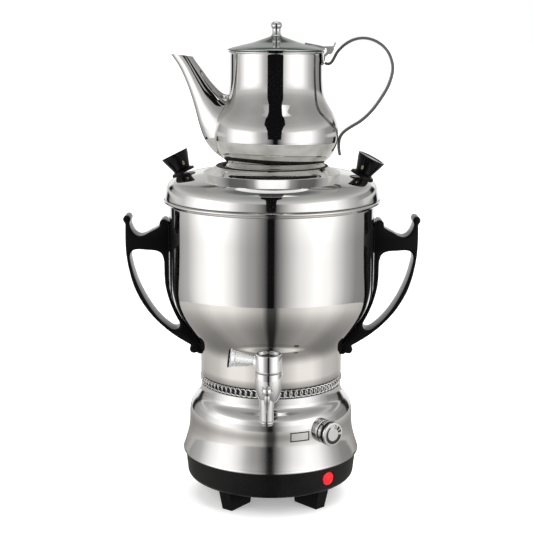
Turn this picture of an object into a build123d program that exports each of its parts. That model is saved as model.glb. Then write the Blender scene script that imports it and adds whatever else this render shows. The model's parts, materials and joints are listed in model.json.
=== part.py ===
from build123d import *
import math
import os

os.makedirs("parts", exist_ok=True)

# Electric samovar with a teapot. Millimetres, +Z up. The origin is on the urn's axis, in the plane
# that the four feet stand on. The tap points to -Y, the handles lie along X.

# ---------------------------------------------------------------- driving dimensions
WALL = 0.8  # sheet steel of urn, shells and lid
URN_R = 97.3  # urn cylinder, outside
NECK_R = 68.0  # urn neck, outside
FLOOR_Z = 121.6  # underside of the tank floor
RIM_Z = 287.8  # centre of the urn's rim bead
LID_REST_Z = 289.3  # the lid rests on the bead here
SEAT_Z = 321.0  # floor of the teapot seat in the lid
POT_X = 3.5  # the teapot stands this far off the urn's axis
POT_Z = SEAT_Z + 0.1  # underside of the teapot's foot disc
PAN_TOP_Z, PAN_BOTTOM_Z = 45.2, 20.0
PAN_TOP_R, PAN_BOTTOM_R = 83.4, 80.4
TAP_X, TAP_Y, TAP_Z = -2.6, -108.0, 138.0  # vertical axis of the tap valve, height of its shank
KNOB_AZ = 36.3  # thermostat knob, degrees right of the front
KNOB_Z = 82.7
LAMP_AZ, LAMP_Z = 40.5, 34.6
BADGE_AZ, BADGE_Z = 19.7, 79.4
FOOT_AZ = (-36.6, 43.4, 143.4, 223.4)  # degrees right of the front
LID_KNOB_AZ = 7.4  # the lid knobs' line is turned this far from X
HANDLE_T = 24.0  # depth of a handle
HINGE_X, HINGE_Z = POT_X + 49.0, 429.0  # teapot lid hinge
THERMO_TRAVEL = 270.0


def inset(points, t):
    """The points moved by t to the right of the direction of travel."""
    out = []
    for i, (x, y) in enumerate(points):
        ax, ay = points[max(i - 1, 0)]
        bx, by = points[min(i + 1, len(points) - 1)]
        dx, dy = bx - ax, by - ay
        n = math.hypot(dx, dy)
        out.append((x + t * dy / n, y - t * dx / n))
    return out


def front(az, r, z):
    """A point at azimuth az degrees right of the front."""
    a = math.radians(az)
    return (r * math.sin(a), -r * math.cos(a), z)


def front_dir(az):
    a = math.radians(az)
    return (math.sin(a), -math.cos(a), 0)


# ---------------------------------------------------------------- base: feet, pan, cover
with BuildPart() as feet:
    for az in FOOT_AZ:
        # radial block, narrower at the floor than at the pan
        top = Plane(origin=front(az, 55.5, PAN_BOTTOM_Z), x_dir=front_dir(az), z_dir=(0, 0, 1))
        low = Plane(origin=front(az, 54.5, 0), x_dir=front_dir(az), z_dir=(0, 0, 1))
        with BuildSketch(top):
            Rectangle(36, 13.4)
        with BuildSketch(low):
            Rectangle(29, 11.2)
        loft()
    with Locations(*[Location(front(az, 55, 0), (0, 180, 0)) for az in FOOT_AZ]):
        CounterBoreHole(radius=1.8, counter_bore_radius=3.6, counter_bore_depth=6.0, depth=30)
feet.part.label = "feet"
export_step(feet.part, "parts/feet.step")

with BuildPart() as base_pan:
    with BuildSketch(Plane.XZ):
        with BuildLine():
            Polyline(
                (PAN_TOP_R, PAN_TOP_Z), (PAN_BOTTOM_R + 0.9, PAN_BOTTOM_Z + 6), (PAN_BOTTOM_R - 1.6, PAN_BOTTOM_Z),
                (30, PAN_BOTTOM_Z), (30, PAN_BOTTOM_Z + 2.5), (PAN_BOTTOM_R - 3.5, PAN_BOTTOM_Z + 2.5),
                (PAN_TOP_R - 2.4, PAN_TOP_Z), (PAN_TOP_R, PAN_TOP_Z),
            )
        make_face()
    revolve(axis=Axis.Z)
    outer = base_pan.edges().filter_by(GeomType.CIRCLE).filter_by(lambda e: abs(e.center().Z - PAN_BOTTOM_Z - 6) < 0.1)
    fillet(outer, 5.0)
    # bosses over the feet, with holes for the foot screws
    with BuildSketch(Plane.XY.offset(PAN_BOTTOM_Z + 2.5)):
        with Locations(*[front(az, 55, 0)[:2] for az in FOOT_AZ]):
            Circle(4.5)
    extrude(amount=8)
    with BuildSketch(Plane.XY.offset(PAN_BOTTOM_Z - 1)):
        with Locations(*[front(az, 55, 0)[:2] for az in FOOT_AZ]):
            Circle(1.6)
    extrude(amount=30, mode=Mode.SUBTRACT)
    # screw holes for the bottom cover
    with BuildSketch(Plane.XY.offset(PAN_BOTTOM_Z - 1)):
        with PolarLocations(34, 3, start_angle=90):
            Circle(1.3)
    extrude(amount=5, mode=Mode.SUBTRACT)
    # window for the power inlet at the back
    with BuildSketch(Plane(origin=(0, 70, 34.2), x_dir=(1, 0, 0), z_dir=(0, 1, 0))):
        Rectangle(28.4, 20.4)
    extrude(amount=20, mode=Mode.SUBTRACT)
    # two screw holes beside it
    with BuildSketch(Plane(origin=(0, 70, 34.2), x_dir=(1, 0, 0), z_dir=(0, 1, 0))):
        with Locations((-20, 0), (20, 0)):
            Circle(1.6)
    extrude(amount=20, mode=Mode.SUBTRACT)
    # hole for the pilot lamp
    with BuildSketch(Plane(origin=front(LAMP_AZ, 70, LAMP_Z), x_dir=(0, 0, 1), z_dir=front_dir(LAMP_AZ))):
        Circle(5.0)
    extrude(amount=20, mode=Mode.SUBTRACT)
base_pan.part.label = "base_pan"
export_step(base_pan.part, "parts/base_pan.step")

with BuildPart() as bottom_cover:
    with BuildSketch(Plane.XY.offset(PAN_BOTTOM_Z - 1.5)):
        Circle(37)
        with PolarLocations(34, 3, start_angle=90):
            Circle(1.5, mode=Mode.SUBTRACT)
        Circle(3.3, mode=Mode.SUBTRACT)
        with PolarLocations(20, 8, start_angle=22.5):
            SlotOverall(12, 3, mode=Mode.SUBTRACT)
    extrude(amount=1.5)
bottom_cover.part.label = "bottom_cover"
export_step(bottom_cover.part, "parts/bottom_cover.step")

with BuildPart() as cover_screws:
    with BuildSketch(Plane.XY.offset(PAN_BOTTOM_Z - 3.5)):
        with PolarLocations(34, 3, start_angle=90):
            Circle(2.6)
    extrude(amount=2)
    with BuildSketch(Plane.XY.offset(PAN_BOTTOM_Z - 1.5)):
        with PolarLocations(34, 3, start_angle=90):
            Circle(1.25)
    extrude(amount=6)
cover_screws.part.label = "cover_screws"
export_step(cover_screws.part, "parts/cover_screws.step")

with BuildPart() as foot_screws:
    with BuildSketch(Plane.XY.offset(3.4)):
        with Locations(*[front(az, 55, 0)[:2] for az in FOOT_AZ]):
            Circle(3.2)
    extrude(amount=2.6)
    with BuildSketch(Plane.XY.offset(6.0)):
        with Locations(*[front(az, 55, 0)[:2] for az in FOOT_AZ]):
            Circle(1.5)
    extrude(amount=22)
foot_screws.part.label = "foot_screws"
export_step(foot_screws.part, "parts/foot_screws.step")

# ---------------------------------------------------------------- base: steel shell and band
# outside profile from the ledge under the trim band down to the rolled edge
BAND_R = 65.8  # the recess that the trim band lies in
SHELL = [
    (67.6, 112.6), (67.9, 108.6), (68.6, 105.0), (70.6, 101.6), (73.8, 98.2), (76.6, 94.0), (78.3, 89.2), (79.0, 83.0),
    (79.0, 75.5), (79.8, 67.2), (81.6, 59.4), (83.4, 53.2), (84.9, 48.6),
]
with BuildPart() as base_shell:
    with BuildSketch(Plane.XZ):
        with BuildLine():
            Polyline((60, FLOOR_Z), (BAND_R, FLOOR_Z), (BAND_R, SHELL[0][1]), SHELL[0])
            Spline(*SHELL)
            Polyline(SHELL[-1], (85.5, 47.2), (85.5, 46.0), (84.7, PAN_TOP_Z), (82.0, PAN_TOP_Z), (82.0, 46.0), (83.7, 46.0), inset(SHELL, WALL)[-1])
            Spline(*reversed(inset(SHELL, WALL)[1:]))
            Polyline(inset(SHELL, WALL)[1], (66.85, SHELL[0][1] - WALL), (BAND_R - WALL, SHELL[0][1] - WALL), (BAND_R - WALL, FLOOR_Z - WALL), (60, FLOOR_Z - WALL), (60, FLOOR_Z))
        make_face()
    revolve(axis=Axis.Z)
    # hole for the thermostat shaft and its bush
    with BuildSketch(Plane(origin=front(KNOB_AZ, 70, KNOB_Z), x_dir=(0, 0, 1), z_dir=front_dir(KNOB_AZ))):
        Circle(5.2)
    extrude(amount=15, mode=Mode.SUBTRACT)
base_shell.part.label = "base_shell"
export_step(base_shell.part, "parts/base_shell.step")

with BuildPart() as trim_band:
    with BuildSketch(Plane.XZ):
        with BuildLine():
            Polyline(
                (BAND_R + 0.1, 112.7), (67.0, 112.7), (67.7, 113.4), (67.7, 114.2), (67.0, 114.9), (67.0, 119.3), (67.7, 120.0),
                (67.7, 120.8), (67.0, 121.4), (BAND_R + 0.1, 121.4), (BAND_R + 0.1, 112.7),
            )
        make_face()
    revolve(axis=Axis.Z)
trim_band.part.label = "trim_band"
export_step(trim_band.part, "parts/trim_band.step")

with BuildPart() as front_badge:
    with BuildSketch(Plane.XZ):
        with Locations((79.35, BADGE_Z)):
            Rectangle(0.5, 9.8)
    revolve(axis=Axis.Z, revolution_arc=14.2)
front_badge_placed = front_badge.part.rotate(Axis.Z, -90 + BADGE_AZ - 7.1)
front_badge_placed.label = "front_badge"
export_step(front_badge_placed, "parts/front_badge.step")

# ---------------------------------------------------------------- urn
BOWL = [
    (URN_R, 212.0), (96.9, 203.6), (94.4, 192.2), (89.0, 180.3), (81.2, 168.9), (75.5, 161.8), (71.0, 156.2),
    (68.7, 151.8), (NECK_R, 146.0),
]
with BuildPart() as urn_body:
    with BuildSketch(Plane.XZ):
        with BuildLine():
            Line((URN_R, RIM_Z), BOWL[0])
            Spline(*BOWL)
            Polyline(BOWL[-1], (NECK_R, FLOOR_Z + 2.0), (NECK_R - 2.0, FLOOR_Z), (0, FLOOR_Z), (0, FLOOR_Z + WALL),
                     (NECK_R - 2.3, FLOOR_Z + WALL), (NECK_R - WALL, FLOOR_Z + 2.3), inset(BOWL, WALL)[-1])
            Spline(*reversed(inset(BOWL, WALL)))
            Polyline(inset(BOWL, WALL)[0], (URN_R - WALL, RIM_Z), (URN_R, RIM_Z))
        make_face()
    revolve(axis=Axis.Z)
    # rolled rim bead
    with BuildSketch(Plane.XZ):
        with Locations((URN_R + 1.0, RIM_Z)):
            Circle(1.45)
    revolve(axis=Axis.Z)
    # tap hole in the neck
    with BuildSketch(Plane(origin=(TAP_X, -60, TAP_Z), x_dir=(1, 0, 0), z_dir=(0, -1, 0))):
        Circle(7.3)
    extrude(amount=12, mode=Mode.SUBTRACT)
    # handle screw holes
    for side in (0, 180):
        with BuildSketch(Plane(origin=(0, 0, 0), x_dir=(0, math.cos(math.radians(side)), 0), z_dir=(math.cos(math.radians(side)), 0, 0))):
            with Locations((-6, 254), (6, 254), (0, 148.0)):
                Circle(2.2)
        extrude(amount=110, mode=Mode.SUBTRACT)
urn_body.part.label = "urn_body"
export_step(urn_body.part, "parts/urn_body.step")

# ---------------------------------------------------------------- handles
HANDLE_OUT = [
    (138.4, 270.0), (138.7, 260.0), (138.7, 249.4), (138.0, 237.4), (135.6, 223.0), (131.9, 209.4), (126.6, 197.1),
    (118.1, 183.6), (107.2, 171.4), (95.4, 161.4), (84.6, 154.2), (75.5, 149.0),
]
HANDLE_SADDLE = [
    (103.2, 267.4), (109.5, 262.9), (115.6, 259.7), (121.3, 256.6), (126.6, 256.0), (131.0, 259.4), (133.6, 264.2), (135.2, 270.0),
]
HANDLE_HOLE = [
    (134.6, 236.5), (132.6, 241.2), (128.6, 243.0), (119.0, 242.6), (109.8, 241.8), (105.0, 239.4), (102.6, 233.6),
    (102.1, 226.0), (102.0, 218.0), (100.9, 206.5), (97.0, 191.8), (91.7, 179.2), (87.8, 171.0), (88.8, 166.8),
    (93.6, 165.2), (102.4, 171.0), (110.4, 179.4), (117.6, 189.6), (124.4, 202.0), (129.4, 213.8), (132.8, 225.4),
]
BAR = [(r + 0.7, z) for r, z in BOWL[1:-1]]
for name, side in (("handle_right", 1), ("handle_left", -1)):
    with BuildPart() as handle:
        with BuildSketch(Plane.XZ):
            with BuildLine():
                Spline(*HANDLE_OUT)
                Polyline(HANDLE_OUT[-1], (70.0, 141.0), (67.0, 141.0), (67.0, 151.0), BAR[-1])
                Spline(*reversed(BAR))
                Polyline(BAR[0], (URN_R + 0.7, 238.0), (URN_R - 1.5, 241.0), (URN_R - 1.5, 267.0), (99.5, 269.0), HANDLE_SADDLE[0])
                Spline(*HANDLE_SADDLE)
                Line(HANDLE_SADDLE[-1], HANDLE_OUT[0])
            make_face()
            with BuildLine():
                Spline(*HANDLE_HOLE, periodic=True)
            make_face(mode=Mode.SUBTRACT)
        extrude(amount=HANDLE_T / 2, both=True)
        # scroll ends
        with BuildSketch(Plane.XZ):
            with Locations((137.0, 271.6)):
                Circle(3.7)
            with Locations((102.0, 267.6)):
                Circle(4.3)
            with Locations((74.4, 146.0)):
                Circle(4.1)
        extrude(amount=HANDLE_T / 2, both=True)
        # the pads follow the urn's wall
        with BuildSketch(Plane.XZ):
            with BuildLine():
                Polyline((0, 300), (URN_R + 0.15, 300), (URN_R + 0.15, BOWL[0][1]))
                Spline(*[(r + 0.15, z) for r, z in BOWL])
                Polyline((NECK_R + 0.15, 146), (NECK_R + 0.15, 130), (0, 130), (0, 300))
            make_face()
        revolve(axis=Axis.Z, mode=Mode.SUBTRACT)
        # screw holes
        with BuildSketch(Plane.YZ.offset(60)):
            with Locations((-6, 254), (6, 254)):
                Circle(2.05)
        extrude(amount=52, mode=Mode.SUBTRACT)
        with BuildSketch(Plane.YZ.offset(60)):
            with Locations((0, 148.0)):
                Circle(2.05)
        extrude(amount=18, mode=Mode.SUBTRACT)
    placed = handle.part if side == 1 else handle.part.rotate(Axis.Z, 180)
    placed.label = name
    export_step(placed, f"parts/{name}.step")

with BuildPart() as handle_screws:
    for side in (0, 180):
        c = math.cos(math.radians(side))
        for y, z, wall in ((-6, 254, URN_R), (6, 254, URN_R), (0, 148.0, NECK_R)):
            with BuildSketch(Plane(origin=(c * (wall - 4.9), y * c, z), x_dir=(0, 1, 0), z_dir=(c, 0, 0))):
                Circle(3.6)
            extrude(amount=2.2)
            with BuildSketch(Plane(origin=(c * (wall - 2.7), y * c, z), x_dir=(0, 1, 0), z_dir=(c, 0, 0))):
                Circle(1.95)
            extrude(amount=11.5)
handle_screws.part.label = "handle_screws"
export_step(handle_screws.part, "parts/handle_screws.step")

with BuildPart() as handle_seals:
    for side in (0, 180):
        c = math.cos(math.radians(side))
        for y, z, wall in ((-6, 254, URN_R), (6, 254, URN_R), (0, 148.0, NECK_R)):
            with BuildSketch(Plane(origin=(c * (wall - 2.7), y * c, z), x_dir=(0, 1, 0), z_dir=(c, 0, 0))):
                Circle(4.2)
                Circle(2.0, mode=Mode.SUBTRACT)
            extrude(amount=1.0)
handle_seals.part.label = "handle_seals"
export_step(handle_seals.part, "parts/handle_seals.step")

# ---------------------------------------------------------------- heater, thermostat, wiring
with BuildPart() as heater_plate:
    with BuildSketch(Plane.XY.offset(FLOOR_Z - 4.2)):
        Circle(55)
        Circle(3.3, mode=Mode.SUBTRACT)
    extrude(amount=4.2)
heater_plate.part.label = "heater_plate"
export_step(heater_plate.part, "parts/heater_plate.step")

ELEMENT_Z = FLOOR_Z - 4.2 - 4.0
with BuildPart() as heating_element:
    with BuildSketch(Plane.XZ):
        with Locations((38, ELEMENT_Z)):
            Circle(3.95)
    revolve(axis=Axis.Z, revolution_arc=320)
    # cold ends turn down to the terminals
    for a in (0, 320):
        with BuildSketch(Plane(origin=(38 * math.cos(math.radians(a)), 38 * math.sin(math.radians(a)), ELEMENT_Z - 22), z_dir=(0, 0, 1))):
            Circle(2.4)
        extrude(amount=22)
heating_element.part.label = "heating_element"
export_step(heating_element.part, "parts/heating_element.step")

with BuildPart() as thermal_cutout:
    with BuildSketch(Plane.XY.offset(FLOOR_Z - 4.2 - 7)):
        with Locations((-16, -14)):
            Circle(8)
    extrude(amount=7)
    with BuildSketch(Plane.XY.offset(FLOOR_Z - 4.2 - 12)):
        with Locations((-20, -14), (-12, -14)):
            Rectangle(0.8, 6)
    extrude(amount=5)
thermal_cutout.part.label = "thermal_cutout"
export_step(thermal_cutout.part, "parts/thermal_cutout.step")

with BuildPart() as tie_rod:
    Cylinder(3.0, FLOOR_Z - 12.6, align=(Align.CENTER, Align.CENTER, Align.MIN))
tie_rod_placed = Pos(0, 0, 12.6) * tie_rod.part
tie_rod_placed.label = "tie_rod"
export_step(tie_rod_placed, "parts/tie_rod.step")

with BuildPart() as tie_nut:
    with BuildSketch(Plane.XY.offset(13.2)):
        RegularPolygon(5.8, 6)
        Circle(3.05, mode=Mode.SUBTRACT)
    extrude(amount=4.3)
    with BuildSketch(Plane.XY.offset(17.5)):
        Circle(8)
        Circle(3.05, mode=Mode.SUBTRACT)
    extrude(amount=1.0)
tie_nut.part.label = "tie_nut"
export_step(tie_nut.part, "parts/tie_nut.step")

knob_plane = Plane(origin=front(KNOB_AZ, 0, KNOB_Z), x_dir=(math.cos(math.radians(KNOB_AZ)), math.sin(math.radians(KNOB_AZ)), 0), z_dir=front_dir(KNOB_AZ))
with BuildPart() as thermostat:
    with BuildSketch(knob_plane.offset(52)):
        Rectangle(26, 26)
    extrude(amount=22)
    # threaded bush through the shell
    with BuildSketch(knob_plane.offset(74)):
        Circle(5.0)
    extrude(amount=7.6)
    with BuildSketch(knob_plane.offset(60)):
        Circle(3.06)
    extrude(amount=30, mode=Mode.SUBTRACT)
    # two terminal blades
    with BuildSketch(knob_plane.offset(45)):
        with Locations((-7, -6), (7, -6)):
            Rectangle(6, 0.8)
    extrude(amount=7)
thermostat.part.label = "thermostat"
export_step(thermostat.part, "parts/thermostat.step")

with BuildPart() as thermostat_shaft:
    with BuildSketch(knob_plane.offset(60.2)):
        Circle(3.0)
    extrude(amount=33)
thermostat_shaft.part.label = "thermostat_shaft"
export_step(thermostat_shaft.part, "parts/thermostat_shaft.step")

with BuildPart() as thermostat_collar:
    with BuildSketch(knob_plane.offset(74)):
        Circle(11.4)
        Circle(5.05, mode=Mode.SUBTRACT)
    extrude(amount=11.4)
    with BuildSketch(Plane.XZ):
        with BuildLine():
            Line((0, SHELL[0][1]), inset(SHELL, -0.12)[0])
            Spline(*inset(SHELL, -0.12))
            Polyline(inset(SHELL, -0.12)[-1], (0, SHELL[-1][1]), (0, SHELL[0][1]))
        make_face()
    revolve(axis=Axis.Z, mode=Mode.SUBTRACT)
    fillet(thermostat_collar.edges().filter_by(GeomType.CIRCLE).filter_by(lambda e: abs(e.radius - 11.4) < 0.01).sort_by(lambda e: -(e @ 0).dot(Vector(front_dir(KNOB_AZ))))[0], 0.8)
thermostat_collar.part.label = "thermostat_collar"
export_step(thermostat_collar.part, "parts/thermostat_collar.step")

KNOB_R0 = 85.8  # the knob's back face, from the urn's axis
with BuildPart() as thermostat_knob:
    with BuildSketch(knob_plane.offset(KNOB_R0)):
        Circle(11.2)
    extrude(amount=11.0)
    # groove for the black band
    with BuildSketch(knob_plane.offset(KNOB_R0 + 5.6)):
        Circle(12)
        Circle(10.2, mode=Mode.SUBTRACT)
    extrude(amount=3.4, mode=Mode.SUBTRACT)
    # bore for the shaft
    with BuildSketch(knob_plane.offset(KNOB_R0 - 1)):
        Circle(3.02)
    extrude(amount=8.6, mode=Mode.SUBTRACT)
    fillet(thermostat_knob.edges().filter_by(GeomType.CIRCLE).filter_by(lambda e: abs(e.radius - 11.2) < 0.01).sort_by(lambda e: -(e @ 0).dot(Vector(front_dir(KNOB_AZ))))[0], 1.0)
thermostat_knob.part.label = "thermostat_knob"
export_step(thermostat_knob.part, "parts/thermostat_knob.step")

with BuildPart() as knob_band:
    with BuildSketch(knob_plane.offset(KNOB_R0 + 5.7)):
        Circle(11.3)
        Circle(10.25, mode=Mode.SUBTRACT)
    extrude(amount=3.2)
knob_band.part.label = "knob_band"
export_step(knob_band.part, "parts/knob_band.step")

with BuildPart() as knob_dial:
    with BuildSketch(knob_plane.offset(KNOB_R0 + 11.0)):
        Circle(9.4)
    extrude(amount=0.4)
knob_dial.part.label = "knob_dial"
export_step(knob_dial.part, "parts/knob_dial.step")

lamp_plane = Plane(origin=front(LAMP_AZ, 0, LAMP_Z), x_dir=(math.cos(math.radians(LAMP_AZ)), math.sin(math.radians(LAMP_AZ)), 0), z_dir=front_dir(LAMP_AZ))
with BuildPart() as pilot_lens:
    with BuildSketch(lamp_plane.offset(81.2)):
        Circle(6.2)
    extrude(amount=2.0)
    with BuildSketch(Plane(origin=lamp_plane.offset(83.2).origin, x_dir=lamp_plane.z_dir, z_dir=lamp_plane.x_dir)):
        with BuildLine():
            l1 = Line((0, 0), (0, 6.2))
            l2 = ThreePointArc((0, 6.2), (1.7, 3.6), (2.3, 0))
            Line((2.3, 0), (0, 0))
        make_face()
    revolve(axis=Axis(lamp_plane.offset(83.2).origin, lamp_plane.z_dir))
    # its rim lies on the pan's wall
    with BuildSketch(Plane.XZ):
        Polygon((0, PAN_BOTTOM_Z + 6), (PAN_BOTTOM_R + 0.95, PAN_BOTTOM_Z + 6), (PAN_TOP_R + 0.05, PAN_TOP_Z), (0, PAN_TOP_Z), align=None)
    revolve(axis=Axis.Z, mode=Mode.SUBTRACT)
    # stem through the pan
    with BuildSketch(lamp_plane.offset(76.4)):
        Circle(4.8)
    extrude(amount=6.4)
pilot_lens.part.label = "pilot_lens"
export_step(pilot_lens.part, "parts/pilot_lens.step")

with BuildPart() as pilot_lamp:
    with BuildSketch(lamp_plane.offset(62)):
        Circle(4.6)
    extrude(amount=14)
    with BuildSketch(lamp_plane.offset(57)):
        with Locations((0, -2), (0, 2)):
            Circle(0.6)
    extrude(amount=5)
pilot_lamp.part.label = "pilot_lamp"
export_step(pilot_lamp.part, "parts/pilot_lamp.step")

inlet_plane = Plane(origin=(0, 0, 34.2), x_dir=(-1, 0, 0), z_dir=(0, 1, 0))
with BuildPart() as power_inlet:
    with BuildSketch(inlet_plane.offset(62)):
        RectangleRounded(28, 20, 2)
    extrude(amount=22)
    # flange outside the pan
    with BuildSketch(inlet_plane.offset(83.5)):
        RectangleRounded(48, 21.5, 4)
    extrude(amount=2.4)
    # socket
    with BuildSketch(inlet_plane.offset(68)):
        RectangleRounded(23, 15.5, 2.5)
    extrude(amount=20, mode=Mode.SUBTRACT)
    with BuildSketch(inlet_plane.offset(80)):
        with Locations((-20, 0), (20, 0)):
            Circle(1.7)
    extrude(amount=8, mode=Mode.SUBTRACT)
    # three slots for the contact pins
    with BuildSketch(inlet_plane.offset(60)):
        with Locations((-7, -1.5), (7, -1.5), (0, 2.5)):
            Rectangle(2.1, 4.1)
    extrude(amount=10, mode=Mode.SUBTRACT)
power_inlet.part.label = "power_inlet"
export_step(power_inlet.part, "parts/power_inlet.step")

with BuildPart() as inlet_pins:
    with BuildSketch(inlet_plane.offset(56)):
        with Locations((-7, -1.5), (7, -1.5), (0, 2.5)):
            Rectangle(2, 4)
    extrude(amount=26)
inlet_pins.part.label = "inlet_pins"
export_step(inlet_pins.part, "parts/inlet_pins.step")

with BuildPart() as inlet_screws:
    with BuildSketch(inlet_plane.offset(85.9)):
        with Locations((-20, 0), (20, 0)):
            Circle(2.8)
    extrude(amount=1.6)
    with BuildSketch(inlet_plane.offset(73)):
        with Locations((-20, 0), (20, 0)):
            Circle(1.5)
    extrude(amount=12.9)
inlet_screws.part.label = "inlet_screws"
export_step(inlet_screws.part, "parts/inlet_screws.step")

with BuildPart() as terminal_block:
    with BuildSketch(Plane.XY.offset(PAN_BOTTOM_Z + 2.5)):
        with Locations((-48, 14)):
            Rectangle(16, 34)
    extrude(amount=13)
    with BuildSketch(Plane.XY.offset(PAN_BOTTOM_Z + 6)):
        with Locations((-48, 3), (-48, 14), (-48, 25)):
            Circle(2.2)
    extrude(amount=12, mode=Mode.SUBTRACT)
terminal_block.part.label = "terminal_block"
export_step(terminal_block.part, "parts/terminal_block.step")

# insulated leads: inlet to terminals, terminals to element, cut-out, thermostat and lamp
LEADS = [
    [(7, 56, 32.7), (7, 42, 32.7), (-8, 28, 28), (-30, 14, 28), (-40, 14, 28)],
    [(-7, 56, 32.7), (-7, 48, 32.7), (-30, 25, 30), (-40, 25, 30)],
    [(-48, 3, 26), (-48, 3, 46), (-34, -6, 80), (-20, -14, 94), (-20, -14, 105.4)],
    [(-12, -14, 105.4), (-12, -14, 94), (4, -17.2, 76.7), (20.96, -40.354, 76.7)],
    [(38, 0, 91.4), (38, 0, 80), (22.9, -19.3, 76.7), (32.26, -32.074, 76.7)],
    [(37.0, -43.33, 36.6), (25.3, -29.6, 36.6), (-30, -8, 44), (-48, 14, 44), (-48, 14, 26)],
    [(29.11, -24.43, 91.4), (29.11, -24.43, 84), (-20, 4, 64), (-48, 25, 52), (-48, 25, 26)],
    [(37.0, -43.33, 32.6), (24.0, -28.11, 32.6), (0, -20, 30), (-30, 3, 29), (-40, 3, 29)],
]
with BuildPart() as wiring:
    for route in LEADS:
        with BuildLine() as path:
            FilletPolyline(*route, radius=1.2)
        with BuildSketch(Plane(origin=path.line @ 0, z_dir=path.line % 0)):
            Circle(1.1)
        sweep(path=path.line)
wiring.part.label = "wiring"
export_step(wiring.part, "parts/wiring.step")

# ---------------------------------------------------------------- tap
with BuildPart() as tap_rosette:
    with BuildSketch(Plane(origin=(TAP_X, -64, TAP_Z), x_dir=(1, 0, 0), z_dir=(0, -1, 0))):
        with Locations((0.8, 0)):
            Circle(12.6)
        Circle(7.15, mode=Mode.SUBTRACT)
    extrude(amount=8.5)
    edge = tap_rosette.edges().filter_by(GeomType.CIRCLE).filter_by(lambda e: abs(e.radius - 12.6) < 0.01).sort_by(Axis.Y)[0]
    fillet(edge, 1.6)
    with BuildSketch(Plane.XY.offset(100)):
        Circle(NECK_R + 0.25)
    extrude(amount=80, mode=Mode.SUBTRACT)
tap_rosette.part.label = "tap_rosette"
export_step(tap_rosette.part, "parts/tap_rosette.step")

# bell profile about the valve axis, outside, downwards
BELL = [(11.95, 150.4), (12.2, 146.0), (12.05, 141.0), (11.6, 136.0), (10.9, 131.5), (9.9, 127.6), (8.4, 124.6)]
with BuildPart() as tap_body:
    # shank and bell
    with BuildSketch(Plane(origin=(TAP_X, -56, TAP_Z), x_dir=(1, 0, 0), z_dir=(0, -1, 0))):
        Circle(7.0)
    extrude(amount=46)
    with BuildSketch(Plane(origin=(TAP_X, TAP_Y, 0), x_dir=(1, 0, 0), z_dir=(0, -1, 0))):
        with BuildLine():
            Line((0, 150.4), BELL[0])
            Spline(*BELL)
            Polyline(BELL[-1], (0, 124.6), (0, 150.4))
        make_face()
    revolve(axis=Axis((TAP_X, TAP_Y, 0), (0, 0, 1)))
    # hex for the spanner behind the bell
    with BuildSketch(Plane(origin=(TAP_X, -75.5, TAP_Z), x_dir=(1, 0, 0), z_dir=(0, -1, 0))):
        RegularPolygon(9.4, 6)
    extrude(amount=5)
    # spout tube
    with BuildSketch(Plane.XY.offset(107.6)):
        with Locations((TAP_X - 1.4, TAP_Y - 3.5)):
            Circle(6.2)
    extrude(amount=24)
    # valve chamber, water way and outlet
    with BuildSketch(Plane.XY.offset(130)):
        with Locations((TAP_X, TAP_Y)):
            Circle(8.05)
    extrude(amount=25, mode=Mode.SUBTRACT)
    with BuildSketch(Plane(origin=(TAP_X, -50, TAP_Z), x_dir=(1, 0, 0), z_dir=(0, -1, 0))):
        Circle(4.0)
    extrude(amount=54, mode=Mode.SUBTRACT)
    with BuildSketch(Plane.XY.offset(100)):
        with Locations((TAP_X - 1.4, TAP_Y - 3.5)):
            Circle(4.2)
    extrude(amount=32, mode=Mode.SUBTRACT)
tap_body.part.label = "tap_body"
export_step(tap_body.part, "parts/tap_body.step")

with BuildPart() as tap_nozzle:
    with BuildSketch(Plane.XY.offset(102.2)):
        with Locations((TAP_X - 1.4, TAP_Y - 3.5)):
            Circle(5.4)
            Circle(3.6, mode=Mode.SUBTRACT)
    extrude(amount=5.4)
    fillet(tap_nozzle.edges().filter_by(GeomType.CIRCLE).filter_by(lambda e: abs(e.radius - 5.4) < 0.01).sort_by(Axis.Z)[0], 1.0)
tap_nozzle.part.label = "tap_nozzle"
export_step(tap_nozzle.part, "parts/tap_nozzle.step")

with BuildPart() as tap_ornament:
    with BuildSketch(Plane(origin=(TAP_X - 1.0, -115.6, 136.0), x_dir=(1, 0, 0), z_dir=(0, -1, 0))):
        Circle(5.6)
    extrude(amount=4.9)
    with BuildSketch(Plane(origin=(TAP_X - 1.0, TAP_Y - 13.4, 136.0), x_dir=(1, 0, 0), z_dir=(0, -1, 0))):
        with BuildLine():
            ThreePointArc((0, 4.4), (4.4, 0), (0, -4.4))
            Line((0, -4.4), (0, 4.4))
        make_face()
    revolve(axis=Axis((TAP_X - 1.0, TAP_Y - 13.4, 0), (0, 0, 1)))
    # the back of the stem follows the bell
    with BuildSketch(Plane.XY.offset(120)):
        with Locations((TAP_X, TAP_Y)):
            Circle(12.3)
    extrude(amount=40, mode=Mode.SUBTRACT)
tap_ornament.part.label = "tap_ornament"
export_step(tap_ornament.part, "parts/tap_ornament.step")

with BuildPart() as tap_seal:
    with BuildSketch(Plane(origin=(TAP_X, -63.6, TAP_Z), x_dir=(1, 0, 0), z_dir=(0, -1, 0))):
        Circle(10.8)
        Circle(7.05, mode=Mode.SUBTRACT)
    extrude(amount=2.0)
tap_seal.part.label = "tap_seal"
export_step(tap_seal.part, "parts/tap_seal.step")

with BuildPart() as tap_nut:
    with BuildSketch(Plane(origin=(TAP_X, -58.2, TAP_Z), x_dir=(1, 0, 0), z_dir=(0, -1, 0))):
        RegularPolygon(11.2, 6)
        Circle(7.05, mode=Mode.SUBTRACT)
    extrude(amount=5.4)
tap_nut.part.label = "tap_nut"
export_step(tap_nut.part, "parts/tap_nut.step")

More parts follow.
